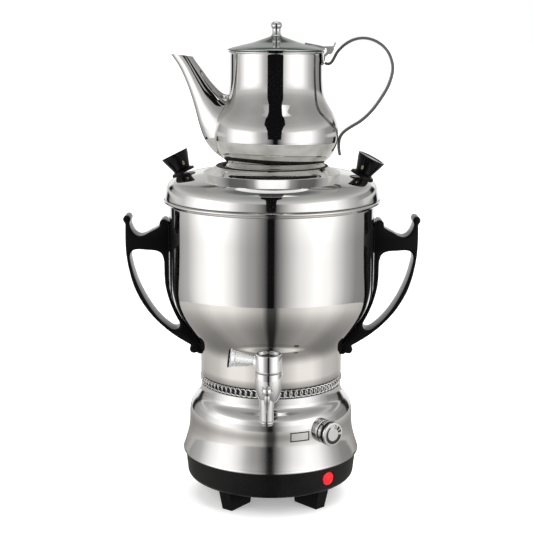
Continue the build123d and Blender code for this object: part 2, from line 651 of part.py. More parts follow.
# the turning set: plug, cap, lever, end cap
with BuildPart() as tap_plug:
    with BuildSketch(Plane.XY.offset(130.2)):
        with Locations((TAP_X, TAP_Y)):
            Circle(8.0)
    extrude(amount=20.6)
    # the port turns the water from the shank down into the spout, and lies across it when closed
    with BuildSketch(Plane(origin=(TAP_X + 9, TAP_Y, TAP_Z), x_dir=(0, 1, 0), z_dir=(-1, 0, 0))):
        Circle(3.6)
    extrude(amount=13.5, mode=Mode.SUBTRACT)
    with BuildSketch(Plane.XY.offset(129)):
        with Locations((TAP_X, TAP_Y)):
            Circle(3.2)
    extrude(amount=9, mode=Mode.SUBTRACT)
tap_plug.part.label = "tap_plug"
export_step(tap_plug.part, "parts/tap_plug.step")

CAP = [(0, 150.8), (11.3, 150.8), (11.9, 151.6), (11.9, 165.6), (11.4, 167.0), (10.4, 167.6), (9.2, 167.2), (7.2, 165.4), (3.6, 164.4), (0, 164.4), (0, 150.8)]
with BuildPart() as tap_rotor:
    with BuildSketch(Plane(origin=(TAP_X, TAP_Y, 0), x_dir=(1, 0, 0), z_dir=(0, -1, 0))):
        with BuildLine():
            Polyline(*CAP)
        make_face()
    revolve(axis=Axis((TAP_X, TAP_Y, 0), (0, 0, 1)))
tap_rotor.part.label = "tap_rotor"
export_step(tap_rotor.part, "parts/tap_rotor.step")

# lever: points to -X when closed, slightly up
LEVER_DIR = Vector(-math.cos(math.radians(3)), 0.0, math.sin(math.radians(3)))
lever_plane = Plane(origin=Vector(TAP_X, TAP_Y, 160.2) + LEVER_DIR * 0.0, x_dir=(0, 1, 0), z_dir=LEVER_DIR)
with BuildPart() as tap_lever:
    with BuildSketch(lever_plane.offset(11.2)):
        Circle(4.2)
    with BuildSketch(lever_plane.offset(14.0)):
        Circle(4.0)
    loft()
    with BuildSketch(lever_plane.offset(14.0)):
        Circle(3.6)
    with BuildSketch(lever_plane.offset(33.6)):
        Circle(7.6)
    loft()
    with BuildSketch(Plane.XY.offset(140)):
        with Locations((TAP_X, TAP_Y)):
            Circle(11.95)
    extrude(amount=40, mode=Mode.SUBTRACT)
tap_lever.part.label = "tap_lever"
export_step(tap_lever.part, "parts/tap_lever.step")

with BuildPart() as lever_cap:
    with BuildSketch(lever_plane.offset(33.6)):
        Circle(8.3)
    extrude(amount=2.4)
    fillet(lever_cap.edges().filter_by(GeomType.CIRCLE), 0.6)
lever_cap.part.label = "lever_cap"
export_step(lever_cap.part, "parts/lever_cap.step")

# ---------------------------------------------------------------- urn lid
LID = [
    (52.4, 322.8), (54.4, 320.9), (57.5, 319.2), (60.4, 318.4), (68.4, 317.2), (77.0, 315.6), (84.5, 313.8), (90.6, 311.6),
    (95.2, 308.9), (98.4, 305.4), (100.2, 301.0), (101.1, 296.4), (101.8, 292.0), (102.4, 288.6),
]
KNOB_TILT = 27.0
KNOB_RADIUS, KNOB_SURF_Z = 85.0, 314.0
lid_knob_planes = []
for a in (-LID_KNOB_AZ, 180 - LID_KNOB_AZ):
    ca, sa = math.cos(math.radians(a)), math.sin(math.radians(a))
    n = (math.sin(math.radians(KNOB_TILT)) * ca, math.sin(math.radians(KNOB_TILT)) * sa, math.cos(math.radians(KNOB_TILT)))
    lid_knob_planes.append(Plane(origin=(KNOB_RADIUS * ca, KNOB_RADIUS * sa, KNOB_SURF_Z), x_dir=(-sa, ca, 0), z_dir=n))

with BuildPart() as lid_shell:
    with BuildSketch(Plane.XZ):
        with BuildLine():
            Polyline((0, SEAT_Z), (51.0, SEAT_Z), (51.6, 322.5), LID[0])
            Spline(*LID)
            Polyline(LID[-1], (102.3, 287.6), (101.4, 287.6), inset(LID, WALL)[-1])
            Spline(*reversed(inset(LID, WALL)[1:]))
            Polyline(inset(LID, WALL)[1], (53.3, SEAT_Z - WALL), (0, SEAT_Z - WALL), (0, SEAT_Z))
        make_face()
    revolve(axis=Axis.Z)
    # steam vents under the teapot
    with BuildSketch(Plane.XY.offset(SEAT_Z - 5)):
        with PolarLocations(20, 6):
            Circle(1.8)
    extrude(amount=10, mode=Mode.SUBTRACT)
    # screw holes for the two knobs
    for plane in lid_knob_planes:
        with BuildSketch(plane.offset(-8)):
            Circle(2.2)
        extrude(amount=16, mode=Mode.SUBTRACT)
lid_shell.part.label = "lid_shell"
export_step(lid_shell.part, "parts/lid_shell.step")

with BuildPart() as lid_seat_ring:
    with BuildSketch(Plane.XZ):
        with BuildLine():
            Polyline(
                (94.4, 281.0), (95.2, 281.0), (95.2, LID_REST_Z + 0.05), (100.5, LID_REST_Z + 0.05), (100.5, LID_REST_Z + 0.85),
                (94.4, LID_REST_Z + 0.85), (94.4, 281.0),
            )
        make_face()
    revolve(axis=Axis.Z)
lid_seat_ring.part.label = "lid_seat_ring"
export_step(lid_seat_ring.part, "parts/lid_seat_ring.step")

with BuildPart() as lid_knob_flanges:
    for plane in lid_knob_planes:
        with BuildSketch(plane.offset(0.15)):
            Circle(11.4)
            Circle(2.2, mode=Mode.SUBTRACT)
        extrude(amount=2.2)
        with BuildSketch(plane.offset(2.35)):
            Circle(9.6)
            Circle(2.2, mode=Mode.SUBTRACT)
        extrude(amount=1.2)
    # they lie on the lid's dome
    with BuildSketch(Plane.XZ):
        with BuildLine():
            Line((0, 323.0), inset(LID, -0.12)[0])
            Spline(*inset(LID, -0.12))
            Polyline(inset(LID, -0.12)[-1], (0, 288.0), (0, 323.0))
        make_face()
    revolve(axis=Axis.Z, mode=Mode.SUBTRACT)
lid_knob_flanges.part.label = "lid_knob_flanges"
export_step(lid_knob_flanges.part, "parts/lid_knob_flanges.step")

for name, plane in zip(("lid_knob_right", "lid_knob_left"), lid_knob_planes):
    with BuildPart() as lid_knob:
        with BuildSketch(Plane(origin=plane.origin, x_dir=plane.x_dir, z_dir=-plane.y_dir)):
            with BuildLine():
                Line((0, 3.55), (8.0, 3.55))
                Spline((8.0, 3.55), (9.0, 5.9), (10.9, 11.1), (12.4, 15.3), (13.35, 19.0))
                ThreePointArc((13.35, 19.0), (13.1, 19.5), (12.6, 19.7))
                Polyline((12.6, 19.7), (0, 19.7), (0, 3.55))
            make_face()
        revolve(axis=Axis(plane.origin, plane.z_dir))
        with BuildSketch(plane.offset(3)):
            Circle(2.05)
        extrude(amount=11, mode=Mode.SUBTRACT)
    lid_knob.part.label = name
    export_step(lid_knob.part, f"parts/{name}.step")

with BuildPart() as lid_knob_screws:
    for plane in lid_knob_planes:
        with BuildSketch(plane.offset(-4.6)):
            Circle(3.6)
        extrude(amount=2.4)
        with BuildSketch(plane.offset(-2.2)):
            Circle(1.95)
        extrude(amount=15)
lid_knob_screws.part.label = "lid_knob_screws"
export_step(lid_knob_screws.part, "parts/lid_knob_screws.step")

# ---------------------------------------------------------------- teapot
# outside profile about the pot's own axis, from the rim down to the foot
POT = [
    (43.3, 426.0), (43.3, 412.0), (43.6, 399.0), (44.6, 391.0), (46.8, 384.2), (50.2, 378.2), (54.2, 371.4), (57.3, 363.4),
    (58.5, 354.0), (57.5, 343.6), (53.9, 335.4), (49.5, 329.6), (45.7, 326.2), (44.4, 324.4),
]
pot_axis = Axis((POT_X, 0, 0), (0, 0, 1))


def pot(points, dx=0.0, dz=0.0):
    return [(x + POT_X + dx, z + dz) for x, z in points]


with BuildPart() as teapot_body:
    with BuildSketch(Plane.XZ):
        with BuildLine():
            Line((POT_X + 43.3, 428.3), pot(POT)[0])
            Spline(*pot(POT))
            Polyline(pot(POT)[-1], (POT_X + 44.2, 323.5), (POT_X, 323.5), (POT_X, 324.3), (POT_X + 43.0, 324.3), pot(inset(POT, WALL))[-1])
            Spline(*reversed(pot(inset(POT, WALL))))
            Polyline(pot(inset(POT, WALL))[0], (POT_X + 42.5, 428.3), (POT_X + 43.3, 428.3))
        make_face()
    revolve(axis=pot_axis)
    # rolled rim
    with BuildSketch(Plane.XZ):
        with Locations((POT_X + 43.7, 428.3)):
            Circle(1.2)
    revolve(axis=pot_axis)
    # strainer holes where the spout joins
    with BuildSketch(Plane(origin=(POT_X - 35, 0, 0), x_dir=(0, -1, 0), z_dir=(-1, 0, 0))):
        with Locations(*[(y, z) for z, ys in ((347, (-6, 0, 6)), (353, (-9, -3, 3, 9)), (359, (-6, 0, 6)), (365, (-3, 3))) for y in ys]):
            Circle(1.3)
    extrude(amount=30, mode=Mode.SUBTRACT)
teapot_body.part.label = "teapot_body"
export_step(teapot_body.part, "parts/teapot_body.step")

with BuildPart() as teapot_foot:
    with BuildSketch(Plane.XZ):
        with BuildLine():
            Polyline(
                (POT_X, POT_Z + 1.4), (POT_X, POT_Z + 2.3), (POT_X + 43.9, POT_Z + 2.3), (POT_X + 46.4, POT_Z + 1.6), (POT_X + 47.0, POT_Z + 0.8),
                (POT_X + 46.6, POT_Z), (POT_X + 44.0, POT_Z), (POT_X + 43.4, POT_Z + 1.4), (POT_X, POT_Z + 1.4),
            )
        make_face()
    revolve(axis=pot_axis)
teapot_foot.part.label = "teapot_foot"
export_step(teapot_foot.part, "parts/teapot_foot.step")

# spout: sections from the pot's wall to the lip, each between a point on the outer and one on the inner side
SPOUT = [
    # outer side (x, z), inner side (x, z), half-width across
    ((-40.0, 328.0), (-34.0, 388.0), 19.0),
    ((-63.6, 341.2), (-50.8, 390.2), 15.4),
    ((-74.2, 368.2), (-62.2, 401.2), 10.2),
    ((-83.0, 398.2), (-70.8, 415.0), 8.0),
    ((-98.2, 425.8), (-77.0, 424.0), 6.8),
]
SPOUT_WALL = 1.1
spout_forms = []
for grow, run_out in ((0.0, 0.0), (-SPOUT_WALL, 1.5)):
    with BuildPart() as spout_form:
        for i, ((ox, oz), (ix, iz), half) in enumerate(SPOUT):
            dx, dz = ix - ox, iz - oz
            length = math.hypot(dx, dz)
            # the section's normal points along the flow, towards the lip
            nx, nz = -dz / length, dx / length
            shift = -run_out if i == 0 else run_out if i == len(SPOUT) - 1 else 0.0
            middle = ((ox + ix) / 2 + POT_X + nx * shift, 0, (oz + iz) / 2 + nz * shift)
            with BuildSketch(Plane(origin=middle, x_dir=(dx / length, 0, dz / length), z_dir=(nx, 0, nz))):
                Ellipse(length / 2 + grow, half + grow)
        loft()
    spout_forms.append(spout_form.part)
with BuildPart() as teapot_spout:
    add(spout_forms[0])
    add(spout_forms[1], mode=Mode.SUBTRACT)
    # open the lip
    with BuildSketch(Plane(origin=(POT_X - 88, 0, 425.2), x_dir=(1, 0, 0.06), z_dir=(-0.06, 0, 1))):
        Rectangle(40, 40)
    extrude(amount=12, mode=Mode.SUBTRACT)
    # the root is cut to the pot's wall
    with BuildSketch(Plane.XZ):
        with BuildLine():
            Line((POT_X + 43.4, 440), pot(POT, dx=0.1)[0])
            Spline(*pot(POT, dx=0.1))
            Polyline(pot(POT, dx=0.1)[-1], (POT_X + 44.5, 318), (POT_X, 318), (POT_X, 440), (POT_X + 43.4, 440))
        make_face()
    revolve(axis=pot_axis, mode=Mode.SUBTRACT)
teapot_spout.part.label = "teapot_spout"
export_step(teapot_spout.part, "parts/teapot_spout.step")

# flat strip handle
STRIP = [
    (45.1, 418.5), (47.4, 417.0), (50.4, 417.9), (53.2, 422.0), (56.6, 428.4), (63.0, 434.8), (71.3, 439.6), (81.5, 441.2),
    (92.6, 438.2), (102.2, 430.6), (107.0, 421.4), (108.3, 413.6), (107.4, 406.4), (104.0, 396.4), (98.6, 387.0), (91.4, 376.6),
    (84.2, 368.8), (77.4, 363.4), (70.0, 359.0), (63.4, 354.2), (60.2, 349.6), (59.3, 344.2), (59.3, 338.8), (60.4, 332.8),
]
with BuildPart() as teapot_handle:
    with BuildSketch(Plane.XZ):
        with BuildLine():
            Spline(*pot(inset(STRIP, 1.15)))
            Line(pot(inset(STRIP, 1.15))[-1], pot(inset(STRIP, -1.15))[-1])
            Spline(*reversed(pot(inset(STRIP, -1.15))))
            Line(pot(inset(STRIP, -1.15))[0], pot(inset(STRIP, 1.15))[0])
        make_face()
    extrude(amount=6.5, both=True)
teapot_handle.part.label = "teapot_handle"
export_step(teapot_handle.part, "parts/teapot_handle.step")

# hinge bracket: a plate round the pot's wall, a web and the middle knuckle
with BuildPart() as hinge_bracket:
    with BuildSketch(Plane.XZ):
        with BuildLine():
            Polyline(
                (POT_X + 44.15, 419.9), (POT_X + 45.1, 419.9), (POT_X + 45.6, 424.2), (POT_X + 49.0, 426.9), (POT_X + 47.2, 429.0),
                (POT_X + 45.2, 426.9), (POT_X + 44.15, 425.8), (POT_X + 44.15, 419.9),
            )
        make_face()
    extrude(amount=4.6, both=True)
    with BuildSketch(Plane.XZ):
        with Locations((HINGE_X, HINGE_Z)):
            Circle(2.3)
    extrude(amount=4.6, both=True)
    with BuildSketch(Plane.XY.offset(416.6)):
        with Locations((POT_X, 0)):
            Circle(44.35)
            Circle(43.45, mode=Mode.SUBTRACT)
            with Locations((-10, 0)):
                Rectangle(102.6, 100, mode=Mode.SUBTRACT)
    extrude(amount=10.2)
    with BuildSketch(Plane.XZ):
        with Locations((HINGE_X, HINGE_Z)):
            Circle(1.28)
    extrude(amount=8, both=True, mode=Mode.SUBTRACT)
hinge_bracket.part.label = "hinge_bracket"
export_step(hinge_bracket.part, "parts/hinge_bracket.step")

with BuildPart() as hinge_pin:
    with BuildSketch(Plane.XZ):
        with Locations((HINGE_X, HINGE_Z)):
            Circle(1.2)
    extrude(amount=6.3, both=True)
    with BuildSketch(Plane.XZ.offset(6.3)):
        with Locations((HINGE_X, HINGE_Z)):
            Circle(1.9)
    extrude(amount=0.8)
    with BuildSketch(Plane.XZ.offset(-7.1)):
        with Locations((HINGE_X, HINGE_Z)):
            Circle(1.9)
    extrude(amount=0.8)
hinge_pin.part.label = "hinge_pin"
export_step(hinge_pin.part, "parts/hinge_pin.step")

# ---------------------------------------------------------------- teapot lid
POTLID = [(4.4, 442.7), (8.7, 441.3), (15.0, 439.2), (21.4, 436.9), (23.2, 436.2), (31.0, 434.6), (38.6, 433.0), (43.6, 431.5), (45.9, 430.6)]
with BuildPart() as teapot_lid:
    with BuildSketch(Plane.XZ):
        with BuildLine():
            Line((POT_X, 442.9), pot(POTLID)[0])
            Spline(*pot(POTLID))
            Polyline(pot(POTLID)[-1], (POT_X + 46.0, 429.8), (POT_X + 45.2, 429.8), pot(inset(POTLID, WALL))[-1])
            Spline(*reversed(pot(inset(POTLID, WALL))))
            Polyline(pot(inset(POTLID, WALL))[0], (POT_X, 442.1), (POT_X, 442.9))
        make_face()
    revolve(axis=pot_axis)
    # locating ring inside the neck
    with BuildSketch(Plane.XZ):
        with Locations((POT_X + 41.2, 427.9)):
            Rectangle(0.8, 8.4)
    revolve(axis=pot_axis)
teapot_lid.part.label = "teapot_lid"
export_step(teapot_lid.part, "parts/teapot_lid.step")

with BuildPart() as lid_finial:
    with BuildSketch(Plane.XZ):
        with BuildLine():
            Spline(
                (POT_X + 5.0, 443.0), (POT_X + 4.1, 443.9), (POT_X + 3.8, 446.4), (POT_X + 4.0, 449.0), (POT_X + 5.1, 451.2),
                (POT_X + 5.2, 453.0), (POT_X + 3.9, 455.0), (POT_X + 0.0, 455.9),
            )
            Polyline((POT_X, 455.9), (POT_X, 443.0), (POT_X + 5.0, 443.0))
        make_face()
    revolve(axis=pot_axis)
lid_finial.part.label = "lid_finial"
export_step(lid_finial.part, "parts/lid_finial.step")

# strap along the lid's top, two ears beside the knuckle, thumb tab
with BuildPart() as hinge_strap:
    with BuildSketch(Plane.XZ):
        with BuildLine():
            Polyline(
                (POT_X + 26.4, 436.9), (POT_X + 44.0, 433.6), (POT_X + 47.0, 433.6), (POT_X + 53.0, 433.8), (POT_X + 54.3, 437.2), (POT_X + 55.1, 436.9),
                (POT_X + 53.8, 432.7), (POT_X + 47.4, 432.6), (POT_X + 43.8, 431.0), (POT_X + 26.2, 434.8), (POT_X + 26.4, 436.9),
            )
        make_face()
    extrude(amount=5.0, both=True)
    for y in (5.0, -6.2):
        with BuildSketch(Plane.XZ.offset(y)):
            with BuildLine():
                Polyline(
                    (POT_X + 46.6, 433.6), (POT_X + 53.2, 433.8), (POT_X + 53.2, 430.5), (POT_X + 51.6, 427.2), (POT_X + 49.6, 426.2),
                    (POT_X + 48.0, 426.4), (POT_X + 46.9, 427.8), (POT_X + 46.6, 433.6),
                )
            make_face()
        extrude(amount=1.2)
    with BuildSketch(Plane.XZ):
        with Locations((HINGE_X, HINGE_Z)):
            Circle(1.28)
    extrude(amount=8, both=True, mode=Mode.SUBTRACT)
    # the strap lies on the lid
    with BuildSketch(Plane.XZ):
        with BuildLine():
            Line((POT_X, 443.0), pot(POTLID, dz=0.08)[0])
            Spline(*pot(POTLID, dz=0.08))
            Polyline(pot(POTLID, dz=0.08)[-1], (POT_X + 46.3, 429.5), (POT_X, 429.5), (POT_X, 443.0))
        make_face()
    revolve(axis=pot_axis, mode=Mode.SUBTRACT)
hinge_strap.part.label = "hinge_strap"
export_step(hinge_strap.part, "parts/hinge_strap.step")
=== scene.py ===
import json
import math

import bmesh
import bpy
import numpy as np
from mathutils import Matrix, Vector

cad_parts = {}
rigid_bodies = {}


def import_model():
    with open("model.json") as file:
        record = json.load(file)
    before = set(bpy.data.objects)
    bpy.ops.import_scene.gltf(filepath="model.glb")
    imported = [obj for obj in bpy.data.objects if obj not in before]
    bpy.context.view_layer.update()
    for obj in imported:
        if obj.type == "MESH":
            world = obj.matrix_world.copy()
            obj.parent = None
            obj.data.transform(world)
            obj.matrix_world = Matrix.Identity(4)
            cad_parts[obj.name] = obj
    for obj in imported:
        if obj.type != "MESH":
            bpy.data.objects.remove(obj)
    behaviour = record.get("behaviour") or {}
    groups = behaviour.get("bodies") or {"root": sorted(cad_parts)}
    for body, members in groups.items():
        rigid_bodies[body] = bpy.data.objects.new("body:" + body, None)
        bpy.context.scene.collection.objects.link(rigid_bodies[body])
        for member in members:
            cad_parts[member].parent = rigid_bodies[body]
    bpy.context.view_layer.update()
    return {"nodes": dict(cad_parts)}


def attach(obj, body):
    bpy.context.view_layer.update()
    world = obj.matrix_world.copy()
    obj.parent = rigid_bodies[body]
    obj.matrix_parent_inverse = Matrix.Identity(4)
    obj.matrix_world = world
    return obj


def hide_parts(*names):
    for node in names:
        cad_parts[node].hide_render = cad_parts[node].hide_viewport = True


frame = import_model()
nodes = frame["nodes"]
scene = bpy.context.scene

# ================================================================ sizes shared with the solids (mm)
WALL = 0.8
URN_R, NECK_R, FLOOR_Z, RIM_Z, REST_Z, SEAT_Z = 97.3, 68.0, 121.6, 287.8, 289.3, 321.0
POT_X, POT_Z = 3.5, 321.1
HINGE_X, HINGE_Z = POT_X + 49.0, 429.0
PAN_TOP_Z, PAN_BOTTOM_Z, PAN_TOP_R, PAN_BOTTOM_R = 45.2, 20.0, 83.4, 80.4
TAP_X, TAP_Y, TAP_Z = -2.6, -108.0, 138.0
KNOB_AZ, KNOB_Z, KNOB_R0 = 36.3, 82.7, 85.8
LAMP_AZ, LAMP_Z = 40.5, 34.6
BADGE_AZ, BADGE_Z = 19.7, 79.4
LID_KNOB_AZ, KNOB_TILT, KNOB_RADIUS, KNOB_SURF_Z = 7.4, 27.0, 85.0, 314.0
HANDLE_T = 24.0


# ================================================================ node helpers
def new_material(name):
    m = bpy.data.materials.new(name)
    m.use_nodes = True
    nt = m.node_tree
    nt.nodes.clear()
    out = nt.nodes.new("ShaderNodeOutputMaterial")
    bsdf = nt.nodes.new("ShaderNodeBsdfPrincipled")
    nt.links.new(bsdf.outputs[0], out.inputs["Surface"])
    return m, nt, bsdf


def node(nt, kind, **values):
    n = nt.nodes.new(kind)
    for k, v in values.items():
        if hasattr(n, k) and k not in n.inputs:
            setattr(n, k, v)
        else:
            n.inputs[k].default_value = v
    return n


def noise(nt, coord, scale, detail=3.0, rough=0.55, stretch=None):
    src = coord
    if stretch is not None:
        mp = node(nt, "ShaderNodeMapping")
        mp.inputs["Scale"].default_value = stretch
        nt.links.new(coord, mp.inputs["Vector"])
        src = mp.outputs[0]
    n = nt.nodes.new("ShaderNodeTexNoise")
    n.inputs["Scale"].default_value = scale
    n.inputs["Detail"].default_value = detail
    n.inputs["Roughness"].default_value = rough
    nt.links.new(src, n.inputs["Vector"])
    return n.outputs["Fac"]


def ramp(nt, fac, stops, interpolation="LINEAR"):
    r = nt.nodes.new("ShaderNodeValToRGB")
    r.color_ramp.interpolation = interpolation
    e = r.color_ramp.elements
    while len(e) > 1:
        e.remove(e[-1])
    for i, (p, c) in enumerate(stops):
        if i == 0:
            e[0].position = p
            el = e[0]
        else:
            el = e.new(p)
        el.color = (c, c, c, 1) if not hasattr(c, "__len__") else (*c[:3], 1)
    if fac is not None:
        nt.links.new(fac, r.inputs[0])
    return r.outputs[0]


def math_node(nt, op, a, b=None, c=None):
    n = nt.nodes.new("ShaderNodeMath")
    n.operation = op
    for i, v in enumerate((a, b, c)):
        if v is None:
            continue
        if isinstance(v, (int, float)):
            n.inputs[i].default_value = v
        else:
            nt.links.new(v, n.inputs[i])
    return n.outputs[0]


def add_bump(nt, bsdf, heights, normal_socket="Normal"):
    """heights: list of (height socket, distance in metres, strength)"""
    previous = None
    for h, distance, strength in heights:
        b = nt.nodes.new("ShaderNodeBump")
        b.inputs["Strength"].default_value = strength
        b.inputs["Distance"].default_value = distance
        nt.links.new(h, b.inputs["Height"])
        if previous is not None:
            nt.links.new(previous, b.inputs["Normal"])
        previous = b.outputs[0]
    nt.links.new(previous, bsdf.inputs[normal_socket])


def object_coord(nt):
    return nt.nodes.new("ShaderNodeTexCoord").outputs["Object"]


def polished_steel(name, tint=(0.80, 0.785, 0.765), rough=(0.030, 0.075), wave=0.0, wave_scale=14.0, smudge_scale=9.0):
    m, nt, b = new_material(name)
    co = object_coord(nt)
    b.inputs["Metallic"].default_value = 1.0
    smudge = noise(nt, co, smudge_scale, 4.0, 0.6)
    # polishing lines run round the piece: noise drawn out across Z
    lines = noise(nt, co, 55.0, 2.0, 0.5, (0.08, 0.08, 9.0))
    colour = ramp(nt, smudge, [(0.30, tuple(t * 0.95 for t in tint)), (0.62, tint)])
    nt.links.new(colour, b.inputs["Base Color"])
    mix = math_node(nt, "MULTIPLY_ADD", lines, 0.35, smudge)
    r = ramp(nt, mix, [(0.45, rough[0]), (0.85, rough[1])])
    nt.links.new(r, b.inputs["Roughness"])
    heights = [(lines, 0.00002, 0.03)]
    if wave:
        heights.append((noise(nt, co, wave_scale, 1.0, 0.4), 0.002, wave))
    add_bump(nt, b, heights)
    b.inputs["Specular IOR Level"].default_value = 0.5
    return m


def satin_steel(name, tint=(0.60, 0.595, 0.585), rough=(0.22, 0.36)):
    m, nt, b = new_material(name)
    co = object_coord(nt)
    b.inputs["Metallic"].default_value = 1.0
    grain = noise(nt, co, 900.0, 3.0, 0.6)
    blotch = noise(nt, co, 60.0, 3.0, 0.5)
    nt.links.new(ramp(nt, blotch, [(0.3, tuple(t * 0.85 for t in tint)), (0.7, tint)]), b.inputs["Base Color"])
    nt.links.new(ramp(nt, grain, [(0.3, rough[0]), (0.7, rough[1])]), b.inputs["Roughness"])
    add_bump(nt, b, [(grain, 0.00003, 0.15)])
    return m


def black_plastic(name, colour=(0.0012, 0.0012, 0.0013), rough=(0.10, 0.20), grain=0.04, grain_scale=1400.0, dust=0.0, level=0.10):
    m, nt, b = new_material(name)
    co = object_coord(nt)
    big = noise(nt, co, 45.0, 4.0, 0.6)
    fine = noise(nt, co, grain_scale, 2.0, 0.6)
    flow = noise(nt, co, 130.0, 3.0, 0.6, (1.0, 0.25, 1.0))
    lighter = tuple(c * 1.7 + dust for c in colour)
    nt.links.new(ramp(nt, big, [(0.32, colour), (0.75, lighter)]), b.inputs["Base Color"])
    mix = math_node(nt, "MULTIPLY_ADD", fine, 0.30, flow)
    nt.links.new(ramp(nt, mix, [(0.40, rough[0]), (0.90, rough[1])]), b.inputs["Roughness"])
    add_bump(nt, b, [(flow, 0.0004, 0.05), (fine, 0.00005, grain)])
    b.inputs["IOR"].default_value = 1.5
    b.inputs["Specular IOR Level"].default_value = level
    return m


def simple_procedural(name, a, c, rough=(0.4, 0.6), scale=120.0, bump=0.1, metallic=0.0):
    m, nt, b = new_material(name)
    co = object_coord(nt)
    n1 = noise(nt, co, scale, 4.0, 0.6)
    n2 = noise(nt, co, scale * 7, 2.0, 0.6)
    nt.links.new(ramp(nt, n1, [(0.3, a), (0.7, c)]), b.inputs["Base Color"])
    nt.links.new(ramp(nt, n2, [(0.3, rough[0]), (0.7, rough[1])]), b.inputs["Roughness"])
    b.inputs["Metallic"].default_value = metallic
    add_bump(nt, b, [(n2, 0.0001, bump)])
    return m


STEEL = polished_steel("polished_steel_body", wave=0.010, wave_scale=9.0)
STEEL_BASE = polished_steel("polished_steel_base", tint=(0.77, 0.76, 0.745), rough=(0.075, 0.14), wave=0.016, wave_scale=12.0)
STEEL_LID = polished_steel("polished_steel_lid", tint=(0.79, 0.78, 0.765), rough=(0.035, 0.085), wave=0.022, wave_scale=16.0)
STEEL_POT = polished_steel("polished_steel_pot", tint=(0.76, 0.75, 0.735), rough=(0.025, 0.06), wave=0.008, wave_scale=18.0)
# painted shade: the pot lid's steel is tinted darker and greener than the pot's
STEEL_POT_LID_SHADED = polished_steel("polished_steel_pot_lid_painted_shade", tint=(0.42, 0.452, 0.434), rough=(0.06, 0.13), wave=0.01, wave_scale=20.0)
# painted shade: the strip handle's polished steel is tinted near-black for the dark front it mirrors
STEEL_STRIP_SHADED = polished_steel("polished_steel_strip_painted_shade", tint=(0.20, 0.20, 0.195), rough=(0.10, 0.18), wave=0.0)
# painted light: the lever's chrome is paler than the other chrome
CHROME_LEVER_LIT = polished_steel("chrome_lever_painted_light", tint=(0.95, 0.95, 0.955), rough=(0.08, 0.14), wave=0.0)
CHROME = polished_steel("chrome_fittings", tint=(0.86, 0.86, 0.865), rough=(0.02, 0.05), wave=0.0)
BAND_STEEL = polished_steel("bright_band", tint=(0.88, 0.88, 0.875), rough=(0.04, 0.12), wave=0.0)
SATIN = satin_steel("satin_steel_parts")
BLACK = black_plastic("glossy_black_moulding")
BLACK_KNOB = black_plastic("glossy_black_knob", rough=(0.08, 0.16), level=0.16)
PAN_BLACK = black_plastic("satin_black_base", colour=(0.0028, 0.0028, 0.0029), rough=(0.24, 0.34), grain=0.18, grain_scale=1100.0, level=0.30)
FOOT_BLACK = black_plastic("black_feet", colour=(0.0018, 0.0018, 0.0019), rough=(0.24, 0.36), grain=0.15, grain_scale=1000.0, level=0.14)
RUBBER = simple_procedural("black_rubber", (0.012, 0.012, 0.012), (0.03, 0.03, 0.03), (0.55, 0.8), 200.0, 0.2)
BRASS = simple_procedural("turned_brass", (0.60, 0.40, 0.14), (0.74, 0.55, 0.25), (0.18, 0.32), 90.0, 0.05, 1.0)
ALU = simple_procedural("cast_aluminium", (0.52, 0.52, 0.53), (0.66, 0.66, 0.67), (0.35, 0.55), 150.0, 0.25, 1.0)
PALE = simple_procedural("pale_heatproof", (0.66, 0.62, 0.54), (0.78, 0.75, 0.68), (0.45, 0.65), 140.0, 0.15)
# painted reflection: warm pale spots on the lid knobs
KNOB_REFLECTION_SPOT = simple_procedural("pale_inlay", (0.17, 0.14, 0.085), (0.25, 0.21, 0.14), (0.3, 0.45), 300.0, 0.08)
# painted shade: near-black for the band's ground, slots, holes, gaps and creases, where shade falls
PAINTED_SHADE = simple_procedural("painted_shade_dark", (0.004, 0.004, 0.004), (0.012, 0.012, 0.012), (0.5, 0.8), 300.0, 0.3)
PRINT = simple_procedural("black_print", (0.006, 0.006, 0.006), (0.014, 0.014, 0.014), (0.25, 0.4), 700.0, 0.05)
DIAL = satin_steel("dial_face", tint=(0.83, 0.83, 0.82), rough=(0.18, 0.30))
# painted light: the lever's chrome is made part diffuse, so it reads lighter
for n_ in CHROME_LEVER_LIT.node_tree.nodes:
    if n_.type == "BSDF_PRINCIPLED":
        n_.inputs["Metallic"].default_value = 0.72
BADGE = satin_steel("badge_plate", tint=(0.90, 0.90, 0.89), rough=(0.14, 0.24))


def lamp_material():
    m, nt, b = new_material("red_lamp_lens")
    co = object_coord(nt)
    v = nt.nodes.new("ShaderNodeTexVoronoi")
    v.inputs["Scale"].default_value = 420.0
    nt.links.new(co, v.inputs["Vector"])
    n = noise(nt, co, 160.0, 2.0, 0.5)
    nt.links.new(ramp(nt, n, [(0.3, (0.62, 0.004, 0.008)), (0.7, (0.92, 0.02, 0.03))]), b.inputs["Base Color"])
    nt.links.new(ramp(nt, n, [(0.3, 0.08), (0.7, 0.16)]), b.inputs["Roughness"])
    nt.links.new(ramp(nt, v.outputs["Distance"], [(0.0, (1.0, 0.10, 0.10)), (0.5, (0.75, 0.0, 0.01))]), b.inputs["Emission Color"])
    b.inputs["Emission Strength"].default_value = 0.03
    b.inputs["Subsurface Weight"].default_value = 0.2
    b.inputs["Subsurface Scale"].default_value = 0.004
    add_bump(nt, b, [(v.outputs["Distance"], 0.0004, 0.25)])
    return m


LAMP = lamp_material()


